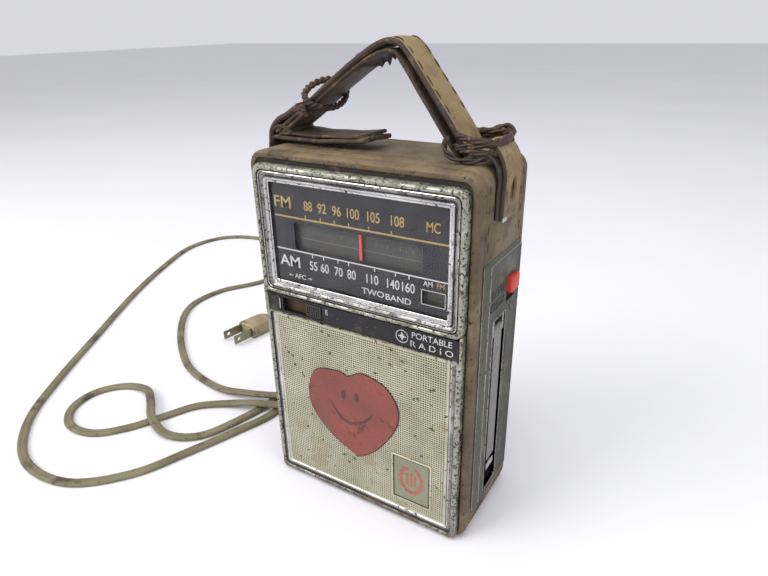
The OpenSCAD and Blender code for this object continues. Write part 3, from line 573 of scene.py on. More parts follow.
def prism(name, outline, low, high, axis="y"):
    # an outline in millimetres pulled from low to high along y or x
    def ring(depth):
        return [Vector((a, depth, b) if axis == "y" else (depth, a, b)) * mm for a, b in outline]
    return loft(name, [ring(high), ring(low)], True, True)


def lettering(text, size, place, squeeze=1.0, axis="y", thick=0.06, turn=0.0, bold=0.008):
    # raised letters, place being their middle and face: (x, y, z) for y, and x outwards for x
    curve = bpy.data.curves.new("letters", "FONT")
    curve.body = text
    curve.size = size * mm
    curve.offset = size * bold * mm
    curve.align_x, curve.align_y = "CENTER", "CENTER"
    curve.extrude = thick * mm / 2
    holder = bpy.data.objects.new("letters", curve)
    bpy.context.scene.collection.objects.link(holder)
    depsgraph = bpy.context.evaluated_depsgraph_get()
    mesh = bpy.data.meshes.new_from_object(holder.evaluated_get(depsgraph))
    bpy.data.objects.remove(holder)
    stand = Matrix.Rotation(math.pi / 2, 4, "X")
    face = Matrix.Rotation(math.pi / 2, 4, "Z") if axis == "x" else Matrix.Identity(4)
    squash = Matrix.Diagonal((squeeze, 1, 1, 1))
    spin = Matrix.Rotation(math.radians(turn), 4, "Z")
    mesh.transform(Matrix.Translation(Vector(place) * mm) @ face @ stand @ spin @ squash)
    return mesh


wireLean = Vector((0.13, 0.21, 1))  # the wires run across every axis, but never along this one


def twistedWire(name, line, radius, pitch, closed=False, strands=2, steps=3, body="radio"):
    # strands of thin wire laid round one another along a line
    fine = smoothLine(line + [line[0]] if closed else line, steps)
    if closed:
        fine = fine[:-1]
    total = sum((b - a).length for a, b in zip(fine, fine[1:] + ([fine[0]] if closed else [])))
    turns = max(1, round(total / pitch))
    parts = []
    for s in range(strands):
        strand = []
        n = len(fine)
        for i, p in enumerate(fine):
            along = heading(fine, i, closed)
            side = along.cross(wireLean).normalized()
            up = side.cross(along)
            a = 2 * math.pi * (turns * i / n + s / strands)
            strand.append(p + (side * math.cos(a) + up * math.sin(a)) * radius * 0.85)
        parts.append((sweep(name, strand, roundSection(radius, 7), wireLean, closed), 0))
    return addPiece(name, joinMeshes(name, parts), body, "rustyWire", 60)


# Mains lead on the floor

leadSetup = {
    "length": 1.9,
    "wide": 5.0 * mm,
    "coreRadius": 1.38 * mm,
    "coreSpacing": 1.25 * mm,  # each conductor's distance from the middle of the lead
    "lowest": 1.4 * mm,
    "route": [
        (24, 52, 13), (24, 70, 7), (17, 90, 1.6), (-8, 106, 1.4), (-46, 102, 1.4),
        (-78, 84, 1.4), (-93, 56, 1.4), (-91, 28, 1.4), (-87, 4, 1.4), (-94, -20, 1.4),
        (-104, -47, 1.4), (-117, -76, 1.4), (-142, -98, 1.4), (-178, -99, 1.4), (-212, -78, 1.4),
        (-240, -42, 1.4), (-276, 14, 1.4), (-316, 78, 1.4), (-346, 136, 1.4), (-365, 186, 1.4),
        (-357, 226, 1.4), (-324, 244, 1.4), (-278, 240, 1.4), (-242, 220, 1.4), (-226, 186, 1.4),
        (-234, 151, 1.4), (-251, 120, 1.4), (-250, 84, 1.4), (-222, 49, 1.4), (-178, 17, 1.4),
        (-140, 7, 1.7), (-114, 9, 4.2), (-91, 18, 4.8), (-80, 34, 2.4), (-77, 54, 1.5),
        (-70, 71, 1.4), (-54, 78, 1.4), (-38, 71, 1.4), (-31, 55, 1.4), (-38, 41, 1.4),
        (-58, 29, 2.2), (-80, 12, 4.6), (-102, 2, 4.8), (-119, -4, 2.2), (-134, -15, 1.5),
        (-143, -32, 1.4), (-153, -51, 1.4), (-167, -65, 1.4), (-186, -67, 1.4), (-201, -56, 1.4),
        (-204, -38, 1.4), (-193, -23, 1.6), (-175, -20, 3.2), (-159, -29, 4.7), (-144, -40, 4.8),
        (-126, -44, 2.4), (-109, -34, 1.5), (-100, -10, 1.4), (-96, 14, 1.4), (-99, 40, 1.4),
        (-106, 70, 1.4), (-112, 100, 1.4), (-115, 123, 1.4), (-122, 142, 1.4), (-138, 152, 1.4),
        (-156, 147, 1.5), (-165, 131, 2.2), (-166, 116, 3.8), (-167.8, 104.7, 5),
    ],
}


def leadSection(setup):
    # two round conductors side by side with a groove between them
    ring = []
    for s in (1, -1):
        for k in range(8):
            a = math.radians(-126 + 36 * k) if s > 0 else math.radians(54 + 36 * k)
            ring.append((s * setup["coreSpacing"] + setup["coreRadius"] * math.cos(a),
                         setup["coreRadius"] * math.sin(a)))
    return ring


def makeLead(setup, carried):
    line = smoothLine(inMetres(setup["route"]), 6)
    for p in line:
        p.z = max(p.z, setup["lowest"])
    mesh = sweep("mains_lead", line, leadSection(setup))
    lead = addPiece("mains_lead", mesh, "radio", "leadPlastic")
    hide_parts("power_cord")
    print("lead:", round(sum((b - a).length for a, b in zip(line, line[1:])), 4), "m")


plugSetup = {
    "place": (-172.5, 71, 5.2),
    "turn": -8,
    "long": 24,
    "tailLong": 10,
    "bladeGap": 12.7,
    "bladeOut": 15.9,
}


def makePlug(setup):
    place = Matrix.Translation(Vector(setup["place"]) * mm) @ Matrix.Rotation(
        math.radians(setup["turn"]), 4, "Z")
    # the body narrows to a ribbed tail; stations are (y, half width, half height)
    stations = [(0.3, 8.0, 4.2), (0, 8.4, 4.4), (0.6, 9, 5), (3, 9, 5), (5.5, 8.7, 4.9), (12, 8.9, 4.9),
                (17, 8.6, 4.8), (21, 7.4, 4.4), (23.6, 5.6, 3.6), (25, 4.9, 3.2)]
    y = 25.4
    while y < setup["long"] + setup["tailLong"] - 0.6:
        taper = 4.9 - 0.16 * (y - 25)
        stations += [(y, taper + 0.25, 3.25), (y + 0.8, taper + 0.2, 3.2),
                     (y + 1.0, taper - 0.5, 2.7), (y + 1.5, taper - 0.5, 2.7)]
        y += 1.8
    stations.append((setup["long"] + setup["tailLong"], 3.0, 2.2))
    rings = [standing(roundedRing(-w, w, -h, h, min(w, h) * 0.55, 5), y) for y, w, h in stations]
    body = loft("plug_body", rings, True, True)
    gripRibs = [(softBox("rib", (-5.5, y, 4.2), (5.5, y + 0.9, 5.15), 0.3), 0) for y in (9, 11, 13, 15)]
    body = joinMeshes("plug_body", [(body, 0)] + gripRibs)
    body.transform(place)
    piece = addPiece("plug_body", body, "radio", "plugPlastic")
    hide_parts("plug")
    blades = []
    for s in (-1, 1):
        x = s * setup["bladeGap"] / 2
        blade = softBox("blade", (x - 0.75, -setup["bladeOut"], -3.2), (x + 0.75, 1, 3.2), 0.3)
        blade = carve(blade, rod("hole", (x - 3, -11.9, 0), (x + 3, -11.9, 0), 1.6))
        blades.append((blade, 0))
    mesh = joinMeshes("plug_blades", blades)
    mesh.transform(place)
    return [piece, addPiece("plug_blades", mesh, "radio", "bladeBrass")]


gripSetup = {
    "at": (24, 13),       # x and z of the hole that the lead leaves by
    "collar": [(25.4, 4.9), (28.6, 4.9), (28.6, 6.2), (29.2, 6.4), (30.4, 6.2), (31.2, 5.0)],
    "ribs": 6,
    "ribsFrom": 32.0,
    "ribPitch": 3.1,
    "end": [(51.4, 3.3), (52, 2.9)],
}


def makeGrip(setup):
    # moulded strain relief with rings, where the lead leaves the back; its profile is (y, radius)
    profile = list(setup["collar"])
    for k in range(setup["ribs"]):
        y = setup["ribsFrom"] + setup["ribPitch"] * k
        r = 4.6 - 0.22 * k
        profile += [(y, r), (y + 1.6, r - 0.1), (y + 1.9, r - 0.8), (y + 2.8, r - 0.8)]
    rings = [standing(oval(*setup["at"], r, r, 24), y) for y, r in profile + setup["end"]]
    piece = addPiece("cord_grip_ribbed", loft("cord_grip_ribbed", rings, True, True), "radio",
                     "blackPlastic")
    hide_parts("cord_grip")
    return piece


makeLead(leadSetup, makePlug(plugSetup) + [makeGrip(gripSetup)])


# Chrome front frame

frontSetup = {
    "rim": (-51.15, 51.15, 1.0, 166.0),  # x and z of the outer edge
    "divide": 105.7,                      # where the dial frame meets the strip
    "dial": (-44.5, 44.5, 111.7, 159.2),
    "grille": (-46.0, 46.0, 6.7, 95.3),
    "stripBottom": 96.2,
    "outerRadius": 4.0,
    "innerRadius": 1.0,
    "face": -28.5,
    "flange": (-52.8, 52.8, 1.0, 168.6),
    "flangeHole": (-50.4, 50.4, 2.2, 165.2),
    "flangeEdge": 0.3,
}
# across the frame from its outer edge: share of the width, depth behind the face, and
# the finish of the next stretch
dialProfile = [(0.0, 4.0, 0), (0.0, 1.6, 0), (0.03, 0.8, 0), (0.09, 0.25, 0), (0.18, 0.0, 0),
               (0.27, 0.1, 0), (0.345, 0.5, 1), (0.38, 1.15, 1), (0.41, 1.2, 0), (0.435, 0.6, 3),
               (0.47, 0.45, 3), (0.50, 0.75, 1), (0.53, 1.25, 2), (0.72, 1.75, 2), (0.75, 1.95, 1),
               (0.79, 1.5, 3), (0.85, 1.1, 3), (0.92, 1.15, 3), (0.97, 1.5, 3), (1.0, 1.95, 3),
               (1.0, 3.6, 3)]
grilleProfile = [(0.0, 4.0, 0), (0.0, 1.6, 0), (0.04, 0.8, 0), (0.12, 0.25, 0), (0.24, 0.0, 0),
                 (0.38, 0.1, 0), (0.47, 0.5, 1), (0.52, 1.1, 1), (0.56, 1.1, 2), (0.72, 0.9, 2),
                 (0.80, 0.75, 3), (0.88, 0.75, 3), (0.95, 1.0, 3), (1.0, 1.4, 1), (1.0, 3.2, 1)]


def frameLoft(name, outer, inner, profile, setup, outerRadius):
    rings, bands = [], []
    for share, depth, finish in profile:
        x0, x1, z0, z1 = (a + (b - a) * share for a, b in zip(outer, inner))
        radius = outerRadius + (setup["innerRadius"] - outerRadius) * share
        y = setup["face"] + depth
        rings.append(standing(roundedRing(x0, x1, z0, z1, radius, 7), y))
        bands.append(finish)
    return loft(name, rings, bands=bands[:-1])


def keepBands(name, parts):
    # joins meshes and keeps each face's own finish; parts are (mesh, finish or None)
    indices = []
    for mesh, finish in parts:
        indices += [face.material_index if finish is None else finish for face in mesh.polygons]
    joined = joinMeshes(name, [(mesh, 0) for mesh, finish in parts])
    joined.polygons.foreach_set("material_index", indices)
    return joined


def buildFrontFrame(setup):
    x0, x1, z0, z1 = setup["rim"]
    low, high = setup["stripBottom"], setup["divide"]
    upper = frameLoft("upper", (x0, x1, high, z1), setup["dial"], dialProfile, setup,
                      setup["outerRadius"])
    lower = frameLoft("lower", (x0, x1, z0, low), setup["grille"], grilleProfile, setup, 3.0)
    # a narrow upright on each side of the control strip
    sides = [softBox("side", (a, -28.3, low - 1.4), (b, -24.5, high + 1.4), 0.55, 3)
             for a, b in ((x0, -49.15), (49.95, x1))]
    fx0, fx1, fz0, fz1 = setup["flange"]
    edge = setup["flangeEdge"]
    bevelled = (fx0 + edge, fx1 - edge, fz0 + edge, fz1 - edge)
    steps = ((setup["flangeHole"], 3, -23), (setup["flange"], 4, -23),
             (setup["flange"], 4, -24.5 + edge), (bevelled, 4, -24.5), (setup["flangeHole"], 3, -24.5))
    flange = loft("flange", [standing(roundedRing(*box, radius, 7), y) for box, radius, y in steps])
    mesh = keepBands("front_frame", [(upper, None), (lower, None), (sides[0], 0), (sides[1], 0),
                                     (flange, 1)])
    piece = addPiece("front_frame", mesh, "radio",
                     ["crownMetal", "grooveDirt", "slopeMetal", "brightMetal"], 40)
    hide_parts("front_bezel")
    print("front frame:", len(mesh.polygons), "faces")


buildFrontFrame(frontSetup)


# Leather case

caseSetup = {
    "half": 54.6,
    "high": 171.0,
    "front": -23.0,
    "back": 28.5,
    "corner": 7.0,
    "backRound": 6.0,
    "leather": 1.5,
    "lip": 2.9,               # how far the front edge reaches in over the frame's flange
    "seams": (-18.6, 20.6),   # where the side wall's two seams run, in y
    "sideRings": (-8, 4),     # plain rings between them
    "stitchPitch": 7.4,
    "stitchLong": 4.8,
}


def caseRing(setup, inset, y):
    half, high = setup["half"] - inset, setup["high"] - inset
    radius = max(1.2, setup["corner"] - inset)
    return standing(roundedRing(-half, half, inset, high, radius, 8), y)


def caseBody(setup):
    # the front edge is rolled over the frame's flange
    first = [(2.85, setup["front"] - 1.7), (2.75, setup["front"] - 2.1)]
    stations = [(1.9, setup["front"] - 2.35), (0.9, setup["front"] - 2.15), (0.25, setup["front"] - 1.4),
                (0.0, setup["front"])]
    for seam in setup["seams"]:
        stations += [(0.0, seam - 0.8), (0.35, seam - 0.2), (0.35, seam + 0.1), (0.0, seam + 0.7)]
    stations += [(0.0, y) for y in setup["sideRings"]]
    r = setup["backRound"]
    for k in range(1, 7):
        a = math.radians(15 * k)
        stations.append((r * (1 - math.cos(a)), setup["back"] - r + r * math.sin(a)))
    stations.sort(key=lambda station: station[1])
    rings = [caseRing(setup, inset, y) for inset, y in first + stations]
    outer = loft("case_outer", rings, True, True)
    t = setup["leather"]
    lip, flangeFace = setup["lip"], setup["front"] - 1.6
    hollow = ((lip, flangeFace - 4.4), (lip, flangeFace), (t, flangeFace), (t, setup["back"] - t))
    inner = loft("case_inner", [caseRing(setup, inset, y) for inset, y in hollow], True, True)
    return carve(outer, inner)


def caseCutters():
    cutters = [
        softBox("aerial", (46, -9.4, 16.3), (62, 6.6, 107.7), 0),
        softBox("knob", (46, 5.3, 110.3), (62, 15.2, 121.9), 0),
        softBox("tuning", (-62, -1.8, 120), (-46, 4.8, 156), 0.0),
        softBox("volume", (-62, -1.8, 85), (-46, 4.8, 111), 0.0),
        softBox("door", (-46.9, 20.5, 13.5), (14.9, 36, 71.9), 0),
        rod("jack", (-62, 8, 74), (-46, 8, 74), 3.4, 32),
        rod("inlet", (24, 20, 13), (24, 36, 13), 5.1, 32),
    ]
    cutters += [rod("screw", (x, 22, z), (x, 34, z), 3.2, 28) for x in (-42, 28) for z in (88, 140)]
    return joinMeshes("cutters", [(c, 0) for c in cutters])


def stitchLoop(name, setup, y, skip):
    # thread lying in short lengths along the seam, all round the case but where skip says
    inset = 0.1
    half, high, r = setup["half"] - inset, setup["high"] - inset, setup["corner"]
    corner = roundedRing(-half, half, inset, high, r, 10)
    path, lengths = [], [0.0]
    for i, (x, z) in enumerate(corner + [corner[0]]):
        path.append(Vector((x, y, z)))
        if i:
            lengths.append(lengths[-1] + (path[-1] - path[-2]).length)

    def at(s):
        s %= lengths[-1]
        for i in range(len(path) - 1):
            if lengths[i + 1] >= s:
                t = (s - lengths[i]) / max(1e-6, lengths[i + 1] - lengths[i])
                return path[i].lerp(path[i + 1], t)
        return path[-1]

    parts = []
    count = int(lengths[-1] / setup["stitchPitch"])
    for n in range(count):
        s = n * lengths[-1] / count
        if skip(at(s)):
            continue
        long = setup["stitchLong"] * random.uniform(0.8, 1.1)
        drift = random.uniform(-0.12, 0.12)
        line = []
        for k in range(5):
            p = at(s + long * (k / 4 - 0.5))
            out = Vector((p.x, 0, p.z - 85)).normalized()
            sink = 0.32 if k in (0, 4) else -0.16
            line.append((p + Vector((0, drift, 0)) - out * sink) * mm)
        parts.append((sweep("stitch", line, roundSection(0.27 * mm, 6), Vector((0, 1, 0))), 0))
    addPiece(name, joinMeshes(name, parts), "radio", "thread", 60)


def buildCase(setup):
    mesh = carve(caseBody(setup), caseCutters())
    case = addPiece("leather_cover", mesh, "radio", ["caseLeather"], 32)
    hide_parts("leather_case")

    def hidden(p):
        # nothing is sewn along the bottom, the top or under the side panel
        return p.z < 4 or p.z > 165 or (p.x > 50 and 10 < p.z < 136)

    stitchLoop("case_front_stitches", setup, setup["seams"][0] + 2.6, hidden)
    stitchLoop("case_back_stitches", setup, setup["seams"][1] - 2.4, hidden)
    print("case:", len(mesh.polygons), "faces")


buildCase(caseSetup)


# Dial

dialSetup = {
    "face": -25.34,        # the print stands this far forward
    "goldLine": (-42.4, 43.5, 143.4),
    "whiteLine": (-42.5, 43.6, 128.0),
    "goldTicks": (-25.1, -17.1, -9.9, -2.6, 7.2, 17.9),
    "whiteTicks": (-22.7, -16.7, -9.0, -3.5, 9.5, 19.5, 25.8),
    "goldWords": (("FM", -37.4, 149.5, 5.4, 1.12), ("88", -23.3, 149.3, 4.4, 0.78),
                  ("92", -16.0, 149.3, 4.4, 0.78), ("96", -8.4, 149.3, 4.4, 0.78),
                  ("100", -0.6, 149.3, 4.4, 0.78), ("105", 9.3, 149.3, 4.4, 0.78),
                  ("108", 20.3, 149.3, 4.4, 0.78), ("MC", 36.3, 149.3, 4.2, 0.74)),
    "whiteWords": (("AM", -35.6, 122.2, 5.4, 1.12), ("55", -22.5, 122.2, 4.3, 0.78),
                   ("60", -16.4, 122.2, 4.3, 0.78), ("70", -9.0, 122.2, 4.3, 0.78),
                   ("80", -2.2, 122.2, 4.3, 0.78), ("110", 7.9, 122.2, 4.3, 0.78),
                   ("140", 18.0, 122.2, 4.3, 0.78), ("160", 25.1, 122.2, 4.3, 0.78),
                   ("AFC", -30.5, 115.6, 2.3, 1.1), ("TWO", 8.4, 116.3, 2.8, 1.2),
                   ("BAND", 20.6, 116.0, 2.8, 1.2), ("AM", 34.4, 125.9, 2.3, 0.95)),
    "bandLabel": ("FM", 39.9, 125.9, 2.3, 0.95),
    "lockLabel": (-30.5, 115.6),
    "flagBox": (31.4, 42.1, 116.8, 123.1),
    "scaleFace": -22.68,
    "innerRim": (((-44.45, 44.45, 111.75, 159.15), -26.55), ((-43.7, 43.7, 112.5, 158.4), -26.6),
                 ((-43.6, 43.6, 112.6, 158.3), -26.5)),
}


def buildDial(setup):
    y = setup["face"]

    def words(entries):
        return [(lettering(text, size * 1.36, (x, y + 0.03, z), squeeze), 0)
                for text, x, z, size, squeeze in entries]

    def rule(x0, x1, z, high):
        return (softBox("rule", (x0, y, z - high / 2), (x1, y + 0.04, z + high / 2), 0), 0)

    x0, x1, z = setup["goldLine"]
    gold = words(setup["goldWords"] + (setup["bandLabel"],)) + [rule(x0, x1, z, 0.75)]
    gold += [rule(t - 0.25, t + 0.25, z + 1.1, 1.6) for t in setup["goldTicks"]]
    addPiece("fm_print", joinMeshes("fm_print", gold), "radio", "goldPrint", 0)
    x0, x1, z = setup["whiteLine"]
    white = words(setup["whiteWords"]) + [rule(x0, x1, z, 0.6)]
    white += [rule(t - 0.25, t + 0.25, z - 1.0, 1.6) for t in setup["whiteTicks"]]
    lockX, lockZ = setup["lockLabel"]
    for side in (-1, 1):  # little arrows on both sides of the tuning lock's label
        tip = lockX + side * 6.6
        neck, end = tip - side * 1.1, tip - side * 2.4
        head = [(tip, lockZ), (neck, lockZ + 0.6), (neck, lockZ - 0.6)]
        white.append((prism("arrow", head, y, y + 0.04), 0))
        white.append(rule(min(neck, end), max(neck, end), lockZ, 0.25))
    x0, x1, z0, z1 = setup["flagBox"]
    white += [rule(x0, x1, z, 0.3) for z in (z1, z0)]
    white += [(softBox("edge", (x - 0.15, y, z0), (x + 0.15, y + 0.04, z1), 0), 0)
              for x in (x0 + 0.1, x1 - 0.1)]
    addPiece("am_print", joinMeshes("am_print", white), "radio", "whitePrint", 0)
    # faint marks on the grey scale behind the pointer
    behind = setup["scaleFace"]
    marks = []
    for k in range(21):
        x = -29 + 2.9 * k
        marks.append((softBox("mark", (x - 0.12, behind, 136.2),
                              (x + 0.12, behind + 0.03, 137.0 + 0.7 * (k % 2)), 0), 0))
    marks.append((softBox("mark", (-30, behind, 133.4), (30, behind + 0.03, 133.65), 0), 0))
    addPiece("scale_marks", joinMeshes("scale_marks", marks), "radio", "faintPrint", 0)
    rim = loft("dial_rim", [standing(roundedRing(*box, 0.4, 2), rimY)
                            for box, rimY in setup["innerRim"]])
    addPiece("dial_inner_rim", rim, "radio", "brightMetal", 30)
    print("dial:", len(gold) + len(white), "printed marks")


buildDial(dialSetup)


# Tuning-lock slide, name plate and control strip

stripSetup = {
    "face": -27.8,
    "emblem": (24.0, 101.2),
    "nameLines": (("PORTABLE", 37.7, 103.0, 1.0), ("R A D I O", 37.7, 98.9, 1.22)),
}


def starOutline(x, z, outer, inner, points, turn=90):
    return [(x + (outer if k % 2 == 0 else inner) * math.cos(math.radians(turn + 180 * k / points)),
             z + (outer if k % 2 == 0 else inner) * math.sin(math.radians(turn + 180 * k / points)))
            for k in range(2 * points)]


def buildStrip(setup):
    y = setup["face"]
    ex, ez = setup["emblem"]
    parts = [(lettering(text, 3.9, (x, y - 0.2, z), squeeze, thick=0.35), 0)
             for text, x, z, squeeze in setup["nameLines"]]
    steps = ((2.6, -0.05), (2.65, -0.35), (3.0, -0.4), (3.1, -0.1), (3.1, 0.0), (2.6, 0.0))
    ring = [standing(oval(ex, ez, r, r, 40), y + depth) for r, depth in steps]
    parts.append((loft("ring", ring), 0))
    parts.append((prism("star", starOutline(ex, ez, 2.2, 0.85, 4), y - 0.35, y), 0))
    parts.append((prism("ray", starOutline(ex, ez, 1.3, 0.5, 4, 45), y - 0.25, y), 0))
    name = addPiece("name_plate", joinMeshes("name_plate", parts), "radio",
                    "brightMetal", 30)
    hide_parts("name_badge")
    tiny = [(lettering("ON", 1.9, (-15.0, y - 0.05, 102.4), 0.9, turn=90), 0),
            (softBox("mark", (-42.1, -28.24, 98.4), (-41.7, -28.15, 103.6), 0), 0)]
    addPiece("slide_marks", joinMeshes("slide_marks", tiny), "radio", "whitePrint", 0)
    knob = [(softBox("knob", (-26.8, -28.0, 97.9), (-18.0, -24.6, 103.9), 0.35, 3), 0)]
    for k in range(7):
        x = -26.2 + 1.25 * k
        knob.append((softBox("rib", (x, -28.3, 98.3), (x + 0.55, -27.8, 103.5), 0.18), 0))
    slide = addPiece("tuning_lock_knob", joinMeshes("tuning_lock_knob", knob), "afc",
                     "blackPlastic", 30)
    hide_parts("afc_knob")
    print("strip: name plate and tuning-lock slide")


buildStrip(stripSetup)


# Perforated grille

grilleSetup = {
    "x": (-45.9, 45.9),
    "z": (6.8, 95.2),
    "face": -27.4,
    "pitch": 1.15,
    "hole": 0.41,      # hole radius
    "thick": 0.35,
    "border": 1.1,
}


def dentAt(x, z):
    # how far the thin sheet is bent in or out
    broad = noise.noise(Vector((x * 0.05, z * 0.05, 3.1)))
    small = noise.noise(Vector((x * 0.2, z * 0.2, 9)))
    return 0.16 * broad + 0.05 * small


def buildGrille(setup):
    x0, x1 = (setup["x"][0] + setup["border"], setup["x"][1] - setup["border"])
    z0, z1 = (setup["z"][0] + setup["border"], setup["z"][1] - setup["border"])
    columns, rows = round((x1 - x0) / setup["pitch"]), round((z1 - z0) / setup["pitch"])
    stepX, stepZ = (x1 - x0) / columns, (z1 - z0) / rows
    y, deep = setup["face"], setup["thick"]
    verts, faces, lookup = [], [], {}

    def vertex(x, z, depth=0.0):
        key = (round(x, 3), round(z, 3), depth)
        if key not in lookup:
            lookup[key] = len(verts)
            verts.append(Vector((x, y + depth + dentAt(x, z), z)) * mm)
        return lookup[key]

    for i in range(columns):
        for j in range(rows):
            cx, cz = x0 + (i + 0.5) * stepX, z0 + (j + 0.5) * stepZ
            outer, inner, sunk = [], [], []
            for k in range(8):
                a = math.radians(45 * k)
                ox, oz = round(math.cos(a) * 1.01), round(math.sin(a) * 1.01)
                outer.append(vertex(cx + ox * stepX / 2, cz + oz * stepZ / 2))
                hx, hz = cx + setup["hole"] * math.cos(a), cz + setup["hole"] * math.sin(a)
                inner.append(vertex(hx, hz))
                sunk.append(vertex(hx, hz, deep))
            for k in range(8):
                n = (k + 1) % 8
                faces.append((outer[k], inner[k], inner[n], outer[n]))
                faces.append((inner[k], sunk[k], sunk[n], inner[n]))
    corners = [vertex(x, z) for x, z in ((x0, z0), (x1, z0), (x1, z1), (x0, z1))]
    (left, right), (bottom, top) = setup["x"], setup["z"]
    sheet = ((left, bottom), (right, bottom), (right, top), (left, top))
    rim = [vertex(x, z) for x, z in sheet]
    edge = [vertex(x, z, deep) for x, z in sheet]
    for k in range(4):
        n = (k + 1) % 4
        faces.append((rim[k], rim[n], corners[n], corners[k]))
        faces.append((rim[n], rim[k], edge[k], edge[n]))
    mesh = meshFrom("grille", verts, faces)
    outward(mesh)
    grille = addPiece("perforated_grille", mesh, "radio", "grilleMetal", 40)
    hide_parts("speaker_grille")
    print("grille:", columns * rows, "holes")


buildGrille(grilleSetup)


# Heart sticker and corner badge

heartSetup = {
    "outline": [(-29.1, 57.8), (-27.4, 64.3), (-24.8, 69.0), (-20.9, 71.7), (-15.5, 72.7),
                (-10.5, 73.4), (-7.8, 73.0), (-5.4, 72.1), (-2.6, 73.6), (1.1, 75.7), (5.4, 75.9),
                (9.6, 75.0), (13.8, 73.5), (17.2, 70.8), (20.0, 66.9), (21.7, 62.6), (21.9, 58.7),
                (20.7, 52.9), (17.7, 46.9), (14.0, 41.2), (9.5, 35.4), (4.9, 31.2), (1.2, 28.7),
                (-1.7, 27.5), (-5.2, 29.2), (-10.2, 31.3), (-15.2, 34.1), (-19.8, 37.9),
                (-23.7, 41.6), (-27.0, 46.6), (-28.6, 50.8)],
    "face": -27.4,
    "thick": 0.5,
    "eyes": ((-8.1, 60.9), (-0.8, 61.9)),
    "smile": [(-15.6, 55.2), (-13.9, 52.4), (-11.8, 49.4), (-9.2, 47.2), (-5.8, 46.1), (-2.2, 46.6),
              (2.1, 48.8), (5.4, 51.9), (7.4, 54.8)],
    "eyeSize": (1.2, 2.5),
    "smileSection": (0.12, 0.7),
}


def insetOutline(outline, amount):
    n = len(outline)
    result = []
    for i, (x, z) in enumerate(outline):
        (ax, az), (bx, bz) = outline[i - 1], outline[(i + 1) % n]
        tx, tz = bx - ax, bz - az
        size = math.hypot(tx, tz) or 1
        result.append((x - tz / size * amount, z + tx / size * amount))
    return result


def buildHeart(setup):
    loop = setup["outline"] + [setup["outline"][0]]
    smooth = [(v.x, v.y) for v in smoothLine([Vector((x, z, 0)) for x, z in loop], 5)][:-1]
    y, thick = setup["face"], setup["thick"]
    stations = [(0.0, 0.12), (0.0, -thick + 0.15), (-0.35, -thick), (-1.1, -thick + 0.02)]
    area = sum(a[0] * b[1] - b[0] * a[1] for a, b in zip(smooth, smooth[1:] + smooth[:1]))
    sign = 1 if area > 0 else -1
    rings = []
    for amount, depth in stations:
        ring = insetOutline(smooth, -amount * sign) if amount else smooth
        rings.append([Vector((x, y + depth + dentAt(x, z), z)) * mm for x, z in ring])
    body = loft("heart", rings, False, True, bands=[1, 1, 0])
    piece = addPiece("heart_patch", body, "radio", ["heartRed", "heartDark"], 45)
    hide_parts("heart_sticker")
    front = y - thick
    parts = [(prism("eye", oval(x, z, *setup["eyeSize"], 20), front - 0.16, front + 0.1), 0)
             for x, z in setup["eyes"]]
    smile = smoothLine(standing(setup["smile"], front - 0.02), 6)
    deep, half = setup["smileSection"]
    section = [(s * deep * mm, u * half * mm) for s, u in ((1, 1), (-1, 1), (-1, -1), (1, -1))]
    parts.append((sweep("smile", smile, section,
                        scale=lambda t: 0.55 + 0.6 * math.sin(math.pi * t)), 0))
    addPiece("heart_face", joinMeshes("heart_face", parts), "radio", "heartFace", 40)
    print("heart:", len(smooth), "points round its edge")


buildHeart(heartSetup)

badgeSetup = {
    "box": (17.8, 38.6, 12.4, 38.2),
    "back": -27.4,
    # inset, depth and the finish of the next stretch
    "steps": ((0, 0.0, 0), (0, -0.45, 0), (0.2, -0.6, 0), (0.75, -0.6, 2), (0.85, -0.4, 2),
              (1.35, -0.4, 1), (1.45, -0.5, 1), (1.6, -0.5, 1)),
    "emblem": (28.2, 26.0),
    "wreath": (5.5, 7.2),
    "leaf": (1.9, 0.72),
    "leaves": 16,
    "barPitch": 2.0,
}


def buildBadge(setup):
    x0, x1, z0, z1 = setup["box"]
    y = setup["back"]
    rings, bands = [], []
    for inset, depth, finish in setup["steps"]:
        ring = roundedRing(x0 + inset, x1 - inset, z0 + inset, z1 - inset, 0.5, 3)
        rings.append(standing(ring, y + depth))
        bands.append(finish)
    piece = addPiece("badge_plate", loft("badge", rings, True, True, bands), "radio",
                     ["badgeGold", "badgeField", "grooveDirt"], 30)
    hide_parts("corner_badge")
    # a plain wreath of leaves round three bars
    cx, cz = setup["emblem"]
    front = y - 0.6
    parts = []
    for k in range(setup["leaves"]):
        a = math.radians(360 / setup["leaves"] * k + 11)
        if abs(math.degrees(a) - 90) < 18:  # the wreath is open at its top
            continue
        rx, rz = cx + setup["wreath"][0] * math.cos(a), cz + setup["wreath"][1] * math.sin(a)
        lean = a + math.radians(62)
        leaf = [(rx + u * math.cos(lean) - v * math.sin(lean), rz + u * math.sin(lean) + v * math.cos(lean))
                for u, v in oval(0, 0, *setup["leaf"], 10)]
        parts.append((prism("leaf", leaf, front, front + 0.12), 0))
    for k in (-1, 0, 1):
        x = cx + setup["barPitch"] * k
        taller = k == 0
        parts.append((softBox("bar", (x - 0.5, front, cz - 3.2 - 0.6 * taller),
                              (x + 0.5, front + 0.12, cz + 3.4 + 1.0 * taller), 0.05), 0))
    print("badge:", len(parts), "leaves and bars")
    addPiece("badge_wreath", joinMeshes("badge_wreath", parts), "radio", "coral", 30)


buildBadge(badgeSetup)


# Side panel with the aerial's recess

panelSetup = {
    "y": (-19.0, 21.5),
    "z": (12.8, 134.3),
    "base": 54.6,
    "face": 55.9,
    "frontBevel": 5.9,
    "bevel": 1.3,
    "recess": (-8.2, 5.4, 17.5, 106.5),
    "rim": ((0.0, -0.7), (0.0, 0.1), (0.15, 0.2), (0.4, 0.2), (0.6, -0.2)),
    "slot": (5.3, 15.2, 110.3, 121.9),
}


